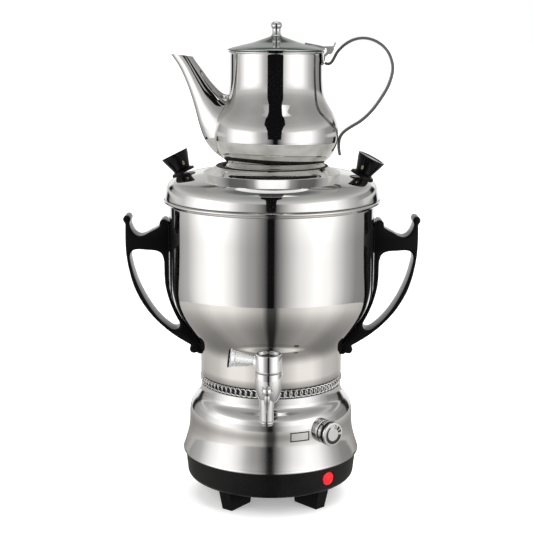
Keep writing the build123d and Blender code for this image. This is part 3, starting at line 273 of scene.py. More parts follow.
# ================================================================ shape helpers
def catmull(points, step=0.5, closed=False):
    """Points on a centripetal Catmull-Rom curve through the given ones, evenly spaced."""
    p = np.array(points, float)
    if closed:
        p = np.vstack([p[-1], p, p[0], p[1]])
    else:
        p = np.vstack([2 * p[0] - p[1], p, 2 * p[-1] - p[-2]])
    out = []
    for i in range(1, len(p) - 2):
        p0, p1, p2, p3 = p[i - 1], p[i], p[i + 1], p[i + 2]
        t0 = 0.0
        t1 = t0 + max(np.linalg.norm(p1 - p0), 1e-9) ** 0.5
        t2 = t1 + max(np.linalg.norm(p2 - p1), 1e-9) ** 0.5
        t3 = t2 + max(np.linalg.norm(p3 - p2), 1e-9) ** 0.5
        n = max(2, int(np.linalg.norm(p2 - p1) / 0.1))
        t = np.linspace(t1, t2, n, endpoint=False)[:, None]
        a1 = (t1 - t) / (t1 - t0) * p0 + (t - t0) / (t1 - t0) * p1
        a2 = (t2 - t) / (t2 - t1) * p1 + (t - t1) / (t2 - t1) * p2
        a3 = (t3 - t) / (t3 - t2) * p2 + (t - t2) / (t3 - t2) * p3
        b1 = (t2 - t) / (t2 - t0) * a1 + (t - t0) / (t2 - t0) * a2
        b2 = (t3 - t) / (t3 - t1) * a2 + (t - t1) / (t3 - t1) * a3
        out.append((t2 - t) / (t2 - t1) * b1 + (t - t1) / (t2 - t1) * b2)
    out.append(p[-2][None, :])
    dense = np.vstack(out)
    if closed:
        dense = dense[:-1]
    return resample(dense, step, closed)


def resample(dense, step, closed=False):
    d = np.vstack([dense, dense[0]]) if closed else dense
    seg = np.linalg.norm(np.diff(d, axis=0), axis=1)
    s = np.concatenate([[0], np.cumsum(seg)])
    n = max(3, int(round(s[-1] / step)))
    t = np.linspace(0, s[-1], n + 1)
    q = np.stack([np.interp(t, s, d[:, k]) for k in range(d.shape[1])], 1)
    return q[:-1] if closed else q


def smooth(points, sigma, closed=False):
    """Gaussian smoothing along an evenly spaced line; sigma in steps."""
    p = np.array(points, float)
    r = int(3 * sigma) + 1
    k = np.exp(-0.5 * (np.arange(-r, r + 1) / sigma) ** 2)
    k /= k.sum()
    if closed:
        pad = np.vstack([p[-r:], p, p[:r]])
    else:
        # odd reflection keeps the ends where they are
        pad = np.vstack([2 * p[0] - p[r:0:-1], p, 2 * p[-1] - p[-2 : -r - 2 : -1]])
    return np.stack([np.convolve(pad[:, i], k, mode="valid") for i in range(p.shape[1])], 1)


def arc(cx, cy, r, a0, a1, n=8):
    return [(cx + r * math.cos(math.radians(a0 + (a1 - a0) * i / n)), cy + r * math.sin(math.radians(a0 + (a1 - a0) * i / n))) for i in range(n + 1)]


def inset(points, t):
    """The line moved by t to the right of the direction of travel."""
    p = np.array(points, float)
    d = np.gradient(p, axis=0)
    n = np.linalg.norm(d, axis=1)[:, None]
    d = d / np.maximum(n, 1e-9)
    return p + t * np.stack([d[:, 1], -d[:, 0]], 1)


def make_object(name, verts_mm, faces, material, body, replaces=(), smooth_angle=32.0, matrix=None):
    me = bpy.data.meshes.new(name)
    v = np.array(verts_mm, float) * 0.001
    if matrix is not None:
        mm = np.array(matrix, float)
        v = v @ mm[:3, :3].T + mm[:3, 3]
    me.from_pydata([tuple(x) for x in v], [], faces)
    me.validate()
    bm = bmesh.new()
    bm.from_mesh(me)
    bmesh.ops.remove_doubles(bm, verts=bm.verts, dist=1e-6)
    bmesh.ops.recalc_face_normals(bm, faces=bm.faces)
    bm.to_mesh(me)
    bm.free()
    me.materials.append(material)
    for f in me.polygons:
        f.use_smooth = True
    if smooth_angle:
        me.set_sharp_from_angle(angle=math.radians(smooth_angle))
    o = bpy.data.objects.new(name, me)
    scene.collection.objects.link(o)
    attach(o, body)
    if replaces:
        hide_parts(*replaces)
    return o


def lathe(name, profile, material, body, replaces=(), centre=(0.0, 0.0), segments=192, closed=True, matrix=None, smooth_angle=32.0, wobble=None):
    """Turns a profile of (radius, height) pairs, mm, about the axis through centre."""
    prof = np.array(profile, float)
    n = len(prof)
    a = np.linspace(0, 2 * math.pi, segments, endpoint=False)
    ca, sa = np.cos(a), np.sin(a)
    verts = np.zeros((n, segments, 3))
    verts[:, :, 0] = centre[0] + prof[:, 0][:, None] * ca[None, :]
    verts[:, :, 1] = centre[1] + prof[:, 0][:, None] * sa[None, :]
    verts[:, :, 2] = prof[:, 1][:, None]
    faces = []
    rows = n if closed else n - 1
    for i in range(rows):
        j = (i + 1) % n
        on_axis_i, on_axis_j = prof[i, 0] < 1e-6, prof[j, 0] < 1e-6
        if on_axis_i and on_axis_j:
            continue
        for k in range(segments):
            l = (k + 1) % segments
            if on_axis_i:
                faces.append((i * segments, j * segments + k, j * segments + l))
            elif on_axis_j:
                faces.append((i * segments + k, j * segments, i * segments + l))
            else:
                faces.append((i * segments + k, j * segments + k, j * segments + l, i * segments + l))
    return make_object(name, verts.reshape(-1, 3), faces, material, body, replaces, smooth_angle, matrix)


def basis(origin, z, x=None):
    """Matrix whose Z lies along z, from the mm frame to metres."""
    z = Vector(z).normalized()
    x = Vector(x) if x is not None else (Vector((0, 0, 1)).cross(z) if abs(z.z) < 0.9 else Vector((1, 0, 0)))
    x = (x - z * x.dot(z)).normalized()
    y = z.cross(x)
    m = Matrix.Identity(4)
    for i in range(3):
        m[i][0], m[i][1], m[i][2], m[i][3] = x[i], y[i], z[i], origin[i] * 0.001
    return m


def front(az, r, z):
    a = math.radians(az)
    return (r * math.sin(a), -r * math.cos(a), z)


def front_dir(az):
    a = math.radians(az)
    return (math.sin(a), -math.cos(a), 0.0)


def tube(name, path, radius, material, body, sides=16, closed=False, replaces=(), profile=None, matrix=None):
    """A round tube along a line of points, mm. radius may be a list. profile: (u, v) offsets instead of a circle."""
    p = np.array(path, float)
    n = len(p)
    r = np.full(n, radius, float) if np.isscalar(radius) else np.array(radius, float)
    t = np.gradient(p, axis=0) if not closed else (np.roll(p, -1, 0) - np.roll(p, 1, 0))
    t /= np.linalg.norm(t, axis=1)[:, None]
    up = np.array([0, 0, 1.0]) if abs(t[0][2]) < 0.9 else np.array([1.0, 0, 0])
    u = np.cross(up, t[0])
    u /= np.linalg.norm(u)
    frames = []
    for i in range(n):
        u = u - t[i] * np.dot(u, t[i])
        u /= np.linalg.norm(u)
        frames.append((u.copy(), np.cross(t[i], u)))
    if profile is None:
        a = np.linspace(0, 2 * math.pi, sides, endpoint=False)
        prof = np.stack([np.cos(a), np.sin(a)], 1)
    else:
        prof = np.array(profile, float)
    k = len(prof)
    verts = np.zeros((n, k, 3))
    for i in range(n):
        uu, vv = frames[i]
        verts[i] = p[i] + r[i] * (prof[:, :1] * uu + prof[:, 1:] * vv)
    faces = []
    for i in range(n if closed else n - 1):
        j = (i + 1) % n
        for a0 in range(k):
            b0 = (a0 + 1) % k
            faces.append((i * k + a0, i * k + b0, j * k + b0, j * k + a0))
    if not closed:
        faces.append(tuple(range(k - 1, -1, -1)))
        faces.append(tuple((n - 1) * k + q for q in range(k)))
    return make_object(name, verts.reshape(-1, 3), faces, material, body, replaces, 40.0, matrix)


def give(name, material, bevel=0.0, segments=3, slot=None):
    """A carried-over node gets its material and, if asked, rounded edges."""
    o = nodes[name]
    o.data.materials.clear()
    o.data.materials.append(material)
    for f in o.data.polygons:
        f.use_smooth = True
        f.material_index = 0
    o.data.set_sharp_from_angle(angle=math.radians(30))
    if bevel:
        md = o.modifiers.new("edge", "BEVEL")
        md.width = bevel * 0.001
        md.segments = segments
        md.limit_method = "ANGLE"
        md.angle_limit = math.radians(35)
        md.harden_normals = True
        wn = o.modifiers.new("weighted", "WEIGHTED_NORMAL")
        wn.keep_sharp = True
    return o


# ================================================================ base
SHELL = [
    (67.6, 112.4), (67.9, 108.6), (68.6, 105.0), (70.6, 101.6), (73.8, 98.2), (76.6, 94.0), (78.3, 89.2), (79.0, 83.0),
    (79.0, 75.5), (79.8, 67.2), (81.6, 59.4), (83.4, 53.2), (84.9, 48.6),
]
shell_outer = smooth(catmull(SHELL, 0.4), 3.2)
lip = arc(84.65, 46.55, 0.9, 50, -90, 8)
shell_inner = inset(shell_outer, WALL)[::-1]
profile = [(60.0, 121.5), (65.3, 121.5), (65.7, 121.3), (65.8, 120.8), (65.8, 113.2), (66.1, 112.8), (66.7, 112.7), (67.3, 112.7)] + list(map(tuple, shell_outer)) + lip + [(82.1, 45.65), (82.1, 46.3), (83.7, 46.3)] + [tuple(q) for q in shell_inner if q[1] < 111.0] + [(66.8, 111.9), (65.0, 111.9), (65.0, 120.7), (60.0, 120.7)]
lathe("base_shell_polished", profile, STEEL_BASE, "urn", ["base_shell"], segments=224)

pan = [(30.0, 22.5), (30.0, 20.0)] + [(74.5, 20.0)] + arc(75.1, 26.1, 6.1, -90, -7, 14) + [(82.0, 33.0), (PAN_TOP_R - 0.75, 39.0), (PAN_TOP_R, PAN_TOP_Z - 0.5), (PAN_TOP_R - 0.4, PAN_TOP_Z), (PAN_TOP_R - 2.2, PAN_TOP_Z), (PAN_TOP_R - 3.2, 24.5), (74.0, 22.5)]
pan = [(r, z) for r, z in pan]
lathe("base_pan_moulded", pan, PAN_BLACK, "urn", ["base_pan"], segments=192)
# painted shade: a near-black ring in the fine parting groove just under the steel edge
lathe("pan_top_shadow", [(81.6, 45.15), (84.3, 45.2), (84.3, 45.7), (81.6, 45.7)], PAINTED_SHADE, "urn", segments=160)

give("feet", FOOT_BLACK, 0.7)
give("bottom_cover", PAN_BLACK, 0.3, 2)
give("cover_screws", SATIN, 0.3, 2)
give("foot_screws", SATIN, 0.3, 2)
give("front_badge", BADGE)
give("heater_plate", ALU)
give("heating_element", SATIN)
give("thermal_cutout", PALE)
give("tie_rod", SATIN)
give("tie_nut", SATIN)
give("thermostat", PALE)
give("thermostat_shaft", SATIN)
give("pilot_lamp", PALE)
give("power_inlet", PAN_BLACK, 0.35)
give("inlet_pins", BRASS)
give("inlet_screws", SATIN, 0.4, 2)
give("terminal_block", PALE)
give("wiring", PALE)
give("tap_seal", RUBBER)
give("tap_nut", BRASS)
give("tap_plug", BRASS)
give("handle_screws", SATIN, 0.4, 2)
give("handle_seals", RUBBER)
give("lid_seat_ring", SATIN)
give("lid_knob_screws", SATIN, 0.4, 2)
give("hinge_pin", CHROME, 0.25, 2)
give("hinge_bracket", CHROME, 0.15, 2)
give("hinge_strap", CHROME, 0.15, 2)


# cross slots in the screws that show underneath, drawn as flat near-black crosses: painted shade in place of the slots'
# recesses
def screw_slots(name, centres, z_dir, size, body, material=PAINTED_SHADE):
    verts, faces = [], []
    for c in centres:
        m = basis(c, z_dir)
        for wide, tall in ((size, size * 0.16), (size * 0.16, size)):
            base = len(verts)
            for x, y in ((-wide, -tall), (wide, -tall), (wide, tall), (-wide, tall)):
                p = m @ Vector((x * 0.0005, y * 0.0005, 0.00006))
                verts.append((p.x * 1000, p.y * 1000, p.z * 1000))
            faces.append((base, base + 1, base + 2, base + 3))
    return make_object(name, verts, faces, material, body, smooth_angle=0)


screw_slots("cover_screw_slots", [(34 * math.cos(math.radians(90 + 120 * k)), 34 * math.sin(math.radians(90 + 120 * k)), 16.5) for k in range(3)], (0, 0, -1), 3.6, "urn")
screw_slots("inlet_screw_slots", [(-20, 87.5, 34.2), (20, 87.5, 34.2)], (0, 1, 0), 3.8, "urn")
screw_slots("foot_screw_slots", [front(az, 55, 3.4) for az in (-36.6, 43.4, 143.4, 223.4)], (0, 0, -1), 4.2, "urn")


# badge: a thin dark border line on the bare plate
def curved_strip(name, r, az0, az1, z0, z1, material, body, thick=0.12):
    n = max(2, int(abs(az1 - az0) / 0.5) + 1)
    verts, faces = [], []
    for i in range(n + 1):
        a = az0 + (az1 - az0) * i / n
        for rr, z in ((r, z0), (r + thick, z0), (r + thick, z1), (r, z1)):
            verts.append(front(a, rr, z))
    for i in range(n):
        for k in range(4):
            l = (k + 1) % 4
            faces.append((i * 4 + k, i * 4 + l, (i + 1) * 4 + l, (i + 1) * 4 + k))
    faces += [(0, 3, 2, 1), (n * 4, n * 4 + 1, n * 4 + 2, n * 4 + 3)]
    return make_object(name, verts, faces, material, body, smooth_angle=30)


br, ba, bh = 79.62, 6.75, 4.45
for i, (a0, a1, z0, z1) in enumerate((
    (-ba, ba, bh - 1.05, bh), (-ba, ba, -bh, -bh + 1.05), (-ba, -ba + 0.8, -bh, bh), (ba - 0.8, ba, -bh, bh),
)):
    curved_strip(f"badge_border_{i}", br, BADGE_AZ + a0, BADGE_AZ + a1, BADGE_Z + z0, BADGE_Z + z1, PRINT, "urn")

# ---------------------------------------------------------------- trim band: interlinked loops on a dark ground
# the ground is near-black: painted shade where it shows between the loops
lathe("band_ground", [(65.85, 112.8), (66.15, 112.8), (66.3, 113.4), (66.3, 120.8), (66.15, 121.4), (65.85, 121.4)], PAINTED_SHADE, "urn", ["trim_band"], segments=192)
LINKS = 80
link_verts, link_faces = [], []
for k in range(LINKS):
    az = 2 * math.pi * k / LINKS
    centre = np.array([66.95 * math.cos(az), 66.95 * math.sin(az), 117.15])
    radial = np.array([math.cos(az), math.sin(az), 0.0])
    tang = np.array([-math.sin(az), math.cos(az), 0.0])
    up = np.array([0.0, 0.0, 1.0])
    # every loop leans: one end over its neighbour, the other end under
    lean = math.radians(13)
    t2 = tang * math.cos(lean) + radial * math.sin(lean)
    r2 = radial * math.cos(lean) - tang * math.sin(lean)
    slant = math.radians(24)
    major = t2 * math.cos(slant) + up * math.sin(slant)
    minor = -t2 * math.sin(slant) + up * math.cos(slant)
    n, sides = 24, 8
    base = len(link_verts)
    for i in range(n):
        a = 2 * math.pi * i / n
        # rounded diamond outline
        c, s = math.cos(a), math.sin(a)
        q = (abs(c) ** 1.7 + abs(s) ** 1.7) ** (-1 / 1.7)
        p = centre + major * (3.7 * c * q) + minor * (3.4 * s * q) + r2 * (0.4 * math.cos(2 * a))
        out = major * c + minor * s
        for j in range(sides):
            b = 2 * math.pi * j / sides
            link_verts.append(tuple(p + out * (0.72 * math.cos(b)) + r2 * (0.65 * math.sin(b))))
    for i in range(n):
        for j in range(sides):
            i2, j2 = (i + 1) % n, (j + 1) % sides
            link_faces.append((base + i * sides + j, base + i2 * sides + j, base + i2 * sides + j2, base + i * sides + j2))
make_object("band_loops", link_verts, link_faces, BAND_STEEL, "urn", smooth_angle=60)
# small beads between the loops, along both edges
bead_verts, bead_faces = [], []
for k in range(LINKS):
    for z, shift in ((120.4, 0.62), (113.9, 0.38)):
        az = 2 * math.pi * (k + shift) / LINKS
        c = np.array([67.0 * math.cos(az), 67.0 * math.sin(az), z])
        base, rad = len(bead_verts), 0.85
        rings, seg = 6, 8
        for i in range(rings + 1):
            th = math.pi * i / rings
            for j in range(seg):
                ph = 2 * math.pi * j / seg
                bead_verts.append(tuple(c + rad * np.array([math.sin(th) * math.cos(ph), math.sin(th) * math.sin(ph), math.cos(th)])))
        for i in range(rings):
            for j in range(seg):
                j2 = (j + 1) % seg
                bead_faces.append((base + i * seg + j, base + (i + 1) * seg + j, base + (i + 1) * seg + j2, base + i * seg + j2))
make_object("band_beads", bead_verts, bead_faces, BAND_STEEL, "urn", smooth_angle=60)

# ================================================================ urn body
BOWL = [
    (97.3, 221.0), (97.25, 212.5), (96.8, 203.6), (94.4, 192.2), (89.0, 180.3), (81.3, 168.9), (75.6, 161.8), (71.1, 156.2),
    (68.8, 151.6), (68.1, 146.0), (68.0, 140.0),
]
bowl = smooth(catmull(BOWL, 0.8), 4.0)
inner = inset(bowl, WALL)[::-1]
bead = arc(URN_R + 1.0, RIM_Z, 1.45, 130, -95, 14)
prof = [(URN_R - WALL, RIM_Z + 0.9), (URN_R - 0.2, RIM_Z + 1.1)] + bead + [(URN_R, 285.6), (URN_R, 280.0), (URN_R, 260.0), (URN_R, 240.0)]
prof += list(map(tuple, bowl)) + [(NECK_R, 130.0), (NECK_R, FLOOR_Z + 2.0), (NECK_R - 0.6, FLOOR_Z + 0.6), (NECK_R - 2.0, FLOOR_Z), (20, FLOOR_Z), (0, FLOOR_Z)]
prof += [(0, FLOOR_Z + WALL), (20, FLOOR_Z + WALL), (NECK_R - 2.4, FLOOR_Z + WALL), (NECK_R - 1.1, FLOOR_Z + 1.4), (NECK_R - WALL, FLOOR_Z + 2.6), (NECK_R - WALL, 130.0)]
prof += list(map(tuple, inner)) + [(URN_R - WALL, 240.0), (URN_R - WALL, 270.0)]
lathe("urn_body_polished", prof, STEEL, "urn", ["urn_body"], segments=256)

# ================================================================ handles
HANDLE_OUT = [
    (138.4, 270.0), (138.7, 260.0), (138.7, 249.4), (138.0, 237.4), (135.6, 223.0), (131.9, 209.4), (126.6, 197.1),
    (118.1, 183.6), (107.2, 171.4), (95.4, 161.4), (84.6, 154.2), (75.5, 149.0),
]
HANDLE_SADDLE = [
    (103.2, 267.4), (109.5, 262.9), (115.6, 259.7), (121.3, 256.6), (126.6, 256.0), (131.0, 259.4), (133.6, 264.2), (135.2, 270.0),
]
HANDLE_HOLE = [
    (134.6, 236.5), (132.6, 241.2), (128.6, 243.0), (119.0, 242.6), (109.8, 241.8), (105.0, 239.4), (102.6, 233.6),
    (102.1, 226.0), (102.0, 218.0), (100.9, 206.5), (97.0, 191.8), (91.7, 179.2), (87.8, 171.0), (88.8, 166.8),
    (93.6, 165.2), (102.4, 171.0), (110.4, 179.4), (117.6, 189.6), (124.4, 202.0), (129.4, 213.8), (132.8, 225.4),
]
BOWL_CAD = [(96.9, 203.6), (94.4, 192.2), (89.0, 180.3), (81.2, 168.9), (75.5, 161.8), (71.0, 156.2), (68.7, 151.8)]


def polygon_distance(poly, gx, gz):
    """Signed distance to a closed polygon, negative inside."""
    p = np.array(poly, float)
    q = np.roll(p, -1, 0)
    best = np.full(gx.shape, 1e9)
    inside = np.zeros(gx.shape, bool)
    for (x0, z0), (x1, z1) in zip(p, q):
        dx, dz = x1 - x0, z1 - z0
        l2 = max(dx * dx + dz * dz, 1e-12)
        t = np.clip(((gx - x0) * dx + (gz - z0) * dz) / l2, 0, 1)
        best = np.minimum(best, (gx - x0 - t * dx) ** 2 + (gz - z0 - t * dz) ** 2)
        if z0 != z1:
            cross = (gz < z0) != (gz < z1)
            xi = x0 + (gz - z0) * dx / dz
            inside ^= cross & (gx < xi)
    d = np.sqrt(best)
    return np.where(inside, -d, d)


def smooth_min(a, b, k):
    h = np.clip(0.5 + 0.5 * (b - a) / k, 0, 1)
    return b * (1 - h) + a * h - k * h * (1 - h)


def contours(field, xs, zs):
    """Closed zero lines of a field sampled on a grid (marching squares)."""
    segs = {}
    f = field
    nx, nz = f.shape
    cell = (f[:-1, :-1] < 0).astype(int) + 2 * (f[1:, :-1] < 0) + 4 * (f[1:, 1:] < 0) + 8 * (f[:-1, 1:] < 0)

    def edge_point(key):
        kind, i, j = key
        if kind == "h":
            a, b = f[i, j], f[i + 1, j]
            t = a / (a - b)
            return xs[i] + t * (xs[i + 1] - xs[i]), zs[j]
        a, b = f[i, j], f[i, j + 1]
        t = a / (a - b)
        return xs[i], zs[j] + t * (zs[j + 1] - zs[j])

    table = {
        1: [("l", "b")], 2: [("b", "r")], 3: [("l", "r")], 4: [("r", "t")], 5: [("l", "t"), ("b", "r")], 6: [("b", "t")], 7: [("l", "t")],
        8: [("t", "l")], 9: [("t", "b")], 10: [("t", "r"), ("l", "b")], 11: [("t", "r")], 12: [("r", "l")], 13: [("r", "b")], 14: [("b", "l")],
    }
    links = {}
    for i, j in zip(*np.nonzero((cell > 0) & (cell < 15))):
        i, j = int(i), int(j)
        e = {"b": ("h", i, j), "t": ("h", i, j + 1), "l": ("v", i, j), "r": ("v", i + 1, j)}
        for a, b in table[int(cell[i, j])]:
            links.setdefault(e[a], []).append(e[b])
            links.setdefault(e[b], []).append(e[a])
    loops, seen = [], set()
    for start in sorted(links):
        if start in seen:
            continue
        loop, here, back = [], start, None
        while True:
            seen.add(here)
            loop.append(edge_point(here))
            nxt = [k for k in links[here] if k != back and (k not in seen)]
            if not nxt:
                break
            back, here = here, nxt[0]
        if len(loop) > 20:
            loops.append(loop)
    return loops


def handle_loops():
    step = 0.35
    xs = np.arange(62.0, 146.0, step)
    zs = np.arange(136.0, 282.0, step)
    gx, gz = np.meshgrid(xs, zs, indexing="ij")
    outline = [tuple(p) for p in catmull(HANDLE_OUT, 1.0)]
    outline += [(70.0, 141.2), (66.0, 141.2), (66.0, 151.0)]
    outline += [(r + 0.7, z) for r, z in reversed(BOWL_CAD)]
    outline += [(URN_R + 0.7, 214.0), (URN_R + 0.7, 238.0), (URN_R - 0.8, 241.5), (URN_R - 0.8, 266.5), (99.5, 269.0)]
    outline += [tuple(p) for p in catmull(HANDLE_SADDLE, 1.0)]
    body = polygon_distance(outline, gx, gz)
    for cx, cz, r, k in ((137.0, 271.8, 3.7, 1.6), (102.0, 267.8, 4.3, 1.2), (74.4, 146.0, 4.1, 1.2)):
        body = smooth_min(body, np.hypot(gx - cx, gz - cz) - r, k)
    hole = polygon_distance([tuple(p) for p in catmull(HANDLE_HOLE, 1.0, closed=True)], gx, gz)
    body = np.maximum(body, -hole)
    # clear of the urn's wall below the upper pad
    wall = np.interp(zs, [140, 146, 151.8, 156.2, 161.8, 168.9, 180.3, 192.2, 203.6, 212.0, 240, 241, 290], [66.6, 66.6, 68.2, 71.6, 76.1, 81.8, 89.6, 95.0, 97.5, 97.9, 97.9, 96.6, 96.6])
    body = np.maximum(body, wall[None, :] - gx)
    loops = contours(body, xs, zs)
    done = []
    for l in loops:
        q = resample(np.array(l), 0.7, closed=True)
        q = smooth(q, 1.0, closed=True)
        done.append(q)
    return done


loops = handle_loops()
BEV = 1.5
for side, name in ((1, "handle_right"), (-1, "handle_left")):
    cu = bpy.data.curves.new(name + "_outline", "CURVE")
    cu.dimensions = "2D"
    cu.fill_mode = "BOTH"
    for l in loops:
        sp = cu.splines.new("POLY")
        sp.points.add(len(l) - 1)
        pts = l if side == 1 else l * np.array([-1.0, 1.0])
        for i, (x, z) in enumerate(pts):
            sp.points[i].co = (x * 0.001, z * 0.001, 0, 1)
        sp.use_cyclic_u = True
    cu.extrude = (HANDLE_T / 2 - BEV) * 0.001
    cu.bevel_depth = BEV * 0.001
    cu.bevel_resolution = 4
    cu.offset = -BEV * 0.001
    tmp = bpy.data.objects.new(name + "_curve", cu)
    scene.collection.objects.link(tmp)
    tmp.matrix_world = Matrix.Rotation(math.radians(90), 4, "X")
    bpy.context.view_layer.update()
    me = bpy.data.meshes.new_from_object(tmp.evaluated_get(bpy.context.evaluated_depsgraph_get()))
    me.transform(tmp.matrix_world)
    bpy.data.objects.remove(tmp)
    bm = bmesh.new()
    bm.from_mesh(me)
    bmesh.ops.remove_doubles(bm, verts=bm.verts, dist=2e-6)
    bmesh.ops.recalc_face_normals(bm, faces=bm.faces)
    bm.to_mesh(me)
    bm.free()
    me.materials.clear()
    me.materials.append(BLACK)
    for f in me.polygons:
        f.use_smooth = True
    me.set_sharp_from_angle(angle=math.radians(40))
    o = bpy.data.objects.new(name + "_moulded", me)
    scene.collection.objects.link(o)
    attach(o, "urn")
    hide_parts(name)

# ================================================================ tap
tap_axis = basis((TAP_X, TAP_Y, 0), (0, 0, 1), (1, 0, 0))
BELL = [(11.95, 150.2), (12.25, 146.0), (12.15, 141.0), (11.7, 136.0), (10.9, 131.5), (9.7, 127.6), (8.2, 124.6), (6.4, 122.8)]
bell = smooth(catmull(BELL, 0.3), 3.0)
prof = [(8.05, 130.0), (8.05, 150.3), (11.5, 150.4), (11.85, 150.3)] + list(map(tuple, bell)) + [(0.0, 122.4), (0.0, 130.0)]
lathe("tap_bell", prof, CHROME, "urn", ["tap_body"], matrix=tap_axis, segments=96)
# spout tube, slightly waisted, open at the bottom
SX, SY = TAP_X - 1.4, TAP_Y - 3.5
spout_axis = basis((SX, SY, 0), (0, 0, 1), (1, 0, 0))
outer = smooth(catmull([(6.6, 127.0), (6.5, 123.0), (6.35, 118.0), (6.2, 112.0), (6.15, 107.2)], 0.4), 2.0)
lathe("tap_spout_tube", list(map(tuple, outer)) + [(5.9, 106.9), (4.2, 106.9), (4.2, 127.0)], CHROME, "urn", matrix=spout_axis, segments=64)
nz = [(3.6, 102.2), (4.6, 102.2)] + arc(4.6, 103.3, 1.1, -90, 0, 5) + [(5.9, 104.6), (6.25, 105.2), (6.2, 106.0), (5.4, 107.0), (3.6, 107.0)]
lathe("tap_nozzle_ring", nz, CHROME, "urn", ["tap_nozzle"], matrix=spout_axis, segments=64)
# rib with a ball at its head on the front of the spout
ribx = TAP_X - 1.2
rib = [(ribx, -118.6, 136.2), (ribx, -119.6, 133.0), (ribx, -119.4, 129.5), (ribx, -118.4, 126.0), (ribx, -117.6, 121.0), (ribx, -117.3, 115.0)]
rib_path = catmull(rib, 0.5)
rr = np.interp(np.linspace(0, 1, len(rib_path)), [0, 0.2, 0.45, 0.75, 1.0], [3.6, 2.4, 2.9, 1.9, 0.5])
tube("tap_front_rib", rib_path, list(rr), CHROME, "urn", sides=24)
ball = []
for i in range(25):
    a = math.pi * i / 24
    ball.append((max(4.5 * math.sin(a), 0.0), 4.5 * math.cos(a)))
ball[0], ball[-1] = (0.0, 4.5), (0.0, -4.5)
lathe("tap_front_ball", ball, CHROME, "urn", ["tap_ornament"], matrix=basis((ribx, -121.2, 136.4), (0, -1, 0)), segments=48, closed=False)
stem = [(0, -8.0), (5.6, -8.0), (5.3, -5.0), (4.2, -3.2), (3.2, -2.2), (0, -2.0)]
lathe("tap_front_stem", stem, CHROME, "urn", matrix=basis((ribx, -121.2, 136.4), (0, -1, 0)), segments=48)
# ring of small beads round the ball's root, as a rosette
for k in range(6):
    a = math.radians(60 * k + 30)
    c = (ribx + 4.3 * math.cos(a), -118.9, 136.4 + 4.3 * math.sin(a))
    pr = [(max(1.5 * math.sin(math.pi * i / 10), 0.0), 1.5 * math.cos(math.pi * i / 10)) for i in range(11)]
    pr[0], pr[-1] = (0.0, 1.5), (0.0, -1.5)
    lathe(f"tap_front_bead_{k}", pr, CHROME, "urn", matrix=basis(c, (0, -1, 0)), segments=20, closed=False)
# shank with its hexagon, wall rosette
shank_m = basis((TAP_X, 0, TAP_Z), (0, -1, 0))
shank = [(4.0, 56.0), (6.6, 56.0), (7.0, 56.6), (7.0, 74.6), (7.6, 75.2), (7.6, 81.0), (7.0, 81.6), (7.0, 90.0), (7.6, 95.0), (8.4, 99.0), (8.4, 101.0), (4.0, 101.0)]
lathe("tap_shank", shank, CHROME, "urn", matrix=shank_m, segments=72)
hexa = []
for z, r in ((75.6, 8.7), (76.1, 9.4), (80.0, 9.4), (80.5, 8.7)):
    hexa.append([(r * math.cos(math.radians(60 * k)), r * math.sin(math.radians(60 * k)), z) for k in range(6)])
hv = [p for ring in hexa for p in ring]
hf = [tuple(range(5, -1, -1)), tuple(range(18, 24))]
for i in range(3):
    for k in range(6):
        l = (k + 1) % 6
        hf.append((i * 6 + k, i * 6 + l, (i + 1) * 6 + l, (i + 1) * 6 + k))
make_object("tap_hexagon", hv, hf, CHROME, "urn", smooth_angle=20, matrix=shank_m)
ros = [(6.3, 65.0), (12.2, 65.0), (12.6, 66.2), (12.6, 70.2)] + arc(11.0, 70.5, 1.6, 0, 90, 6) + [(9.6, 72.3), (8.4, 72.8), (6.3, 73.1)]
lathe("tap_rosette_turned", ros, CHROME, "urn", ["tap_rosette"], matrix=basis((TAP_X + 0.8, 0, TAP_Z), (0, -1, 0)), segments=96)

# the turning set
cap = [(0, 150.8), (11.2, 150.8), (11.75, 151.1), (11.95, 151.8)] + [(11.95, 153.0 + i) for i in range(0, 12, 3)] + arc(10.7, 165.9, 1.25, 0, 110, 8) + [(9.2, 166.6), (8.2, 165.4), (7.0, 164.7), (5.0, 164.4), (0, 164.4)]
lathe("tap_rotor_turned", cap, CHROME, "tap_valve", ["tap_rotor"], matrix=tap_axis, segments=96)
ld = Vector((-math.cos(math.radians(7)), 0.0, math.sin(math.radians(7))))
lever_m = basis((TAP_X, TAP_Y, 158.8), ld)
lev = [(0, 8.0), (5.2, 8.0), (5.4, 11.4), (4.9, 12.8), (4.5, 13.3), (4.6, 14.2), (5.0, 16.5), (6.0, 22.5), (7.0, 28.5), (7.15, 29.3), (6.7, 29.6), (6.75, 30.2), (7.35, 30.5), (7.6, 32.2), (7.8, 32.6), (8.3, 32.9), (8.5, 33.6), (8.5, 34.6), (0, 34.6)]
lathe("tap_lever_turned", lev, CHROME_LEVER_LIT, "tap_valve", ["tap_lever"], matrix=lever_m, segments=72, smooth_angle=40)
lcap = [(0, 34.6), (8.3, 34.6)] + arc(7.8, 35.3, 0.8, -60, 90, 6) + [(6.4, 36.3), (3.0, 36.5), (0, 36.55)]
lathe("lever_cap_moulded", lcap, BLACK_KNOB, "tap_valve", ["lever_cap"], matrix=lever_m, segments=64)

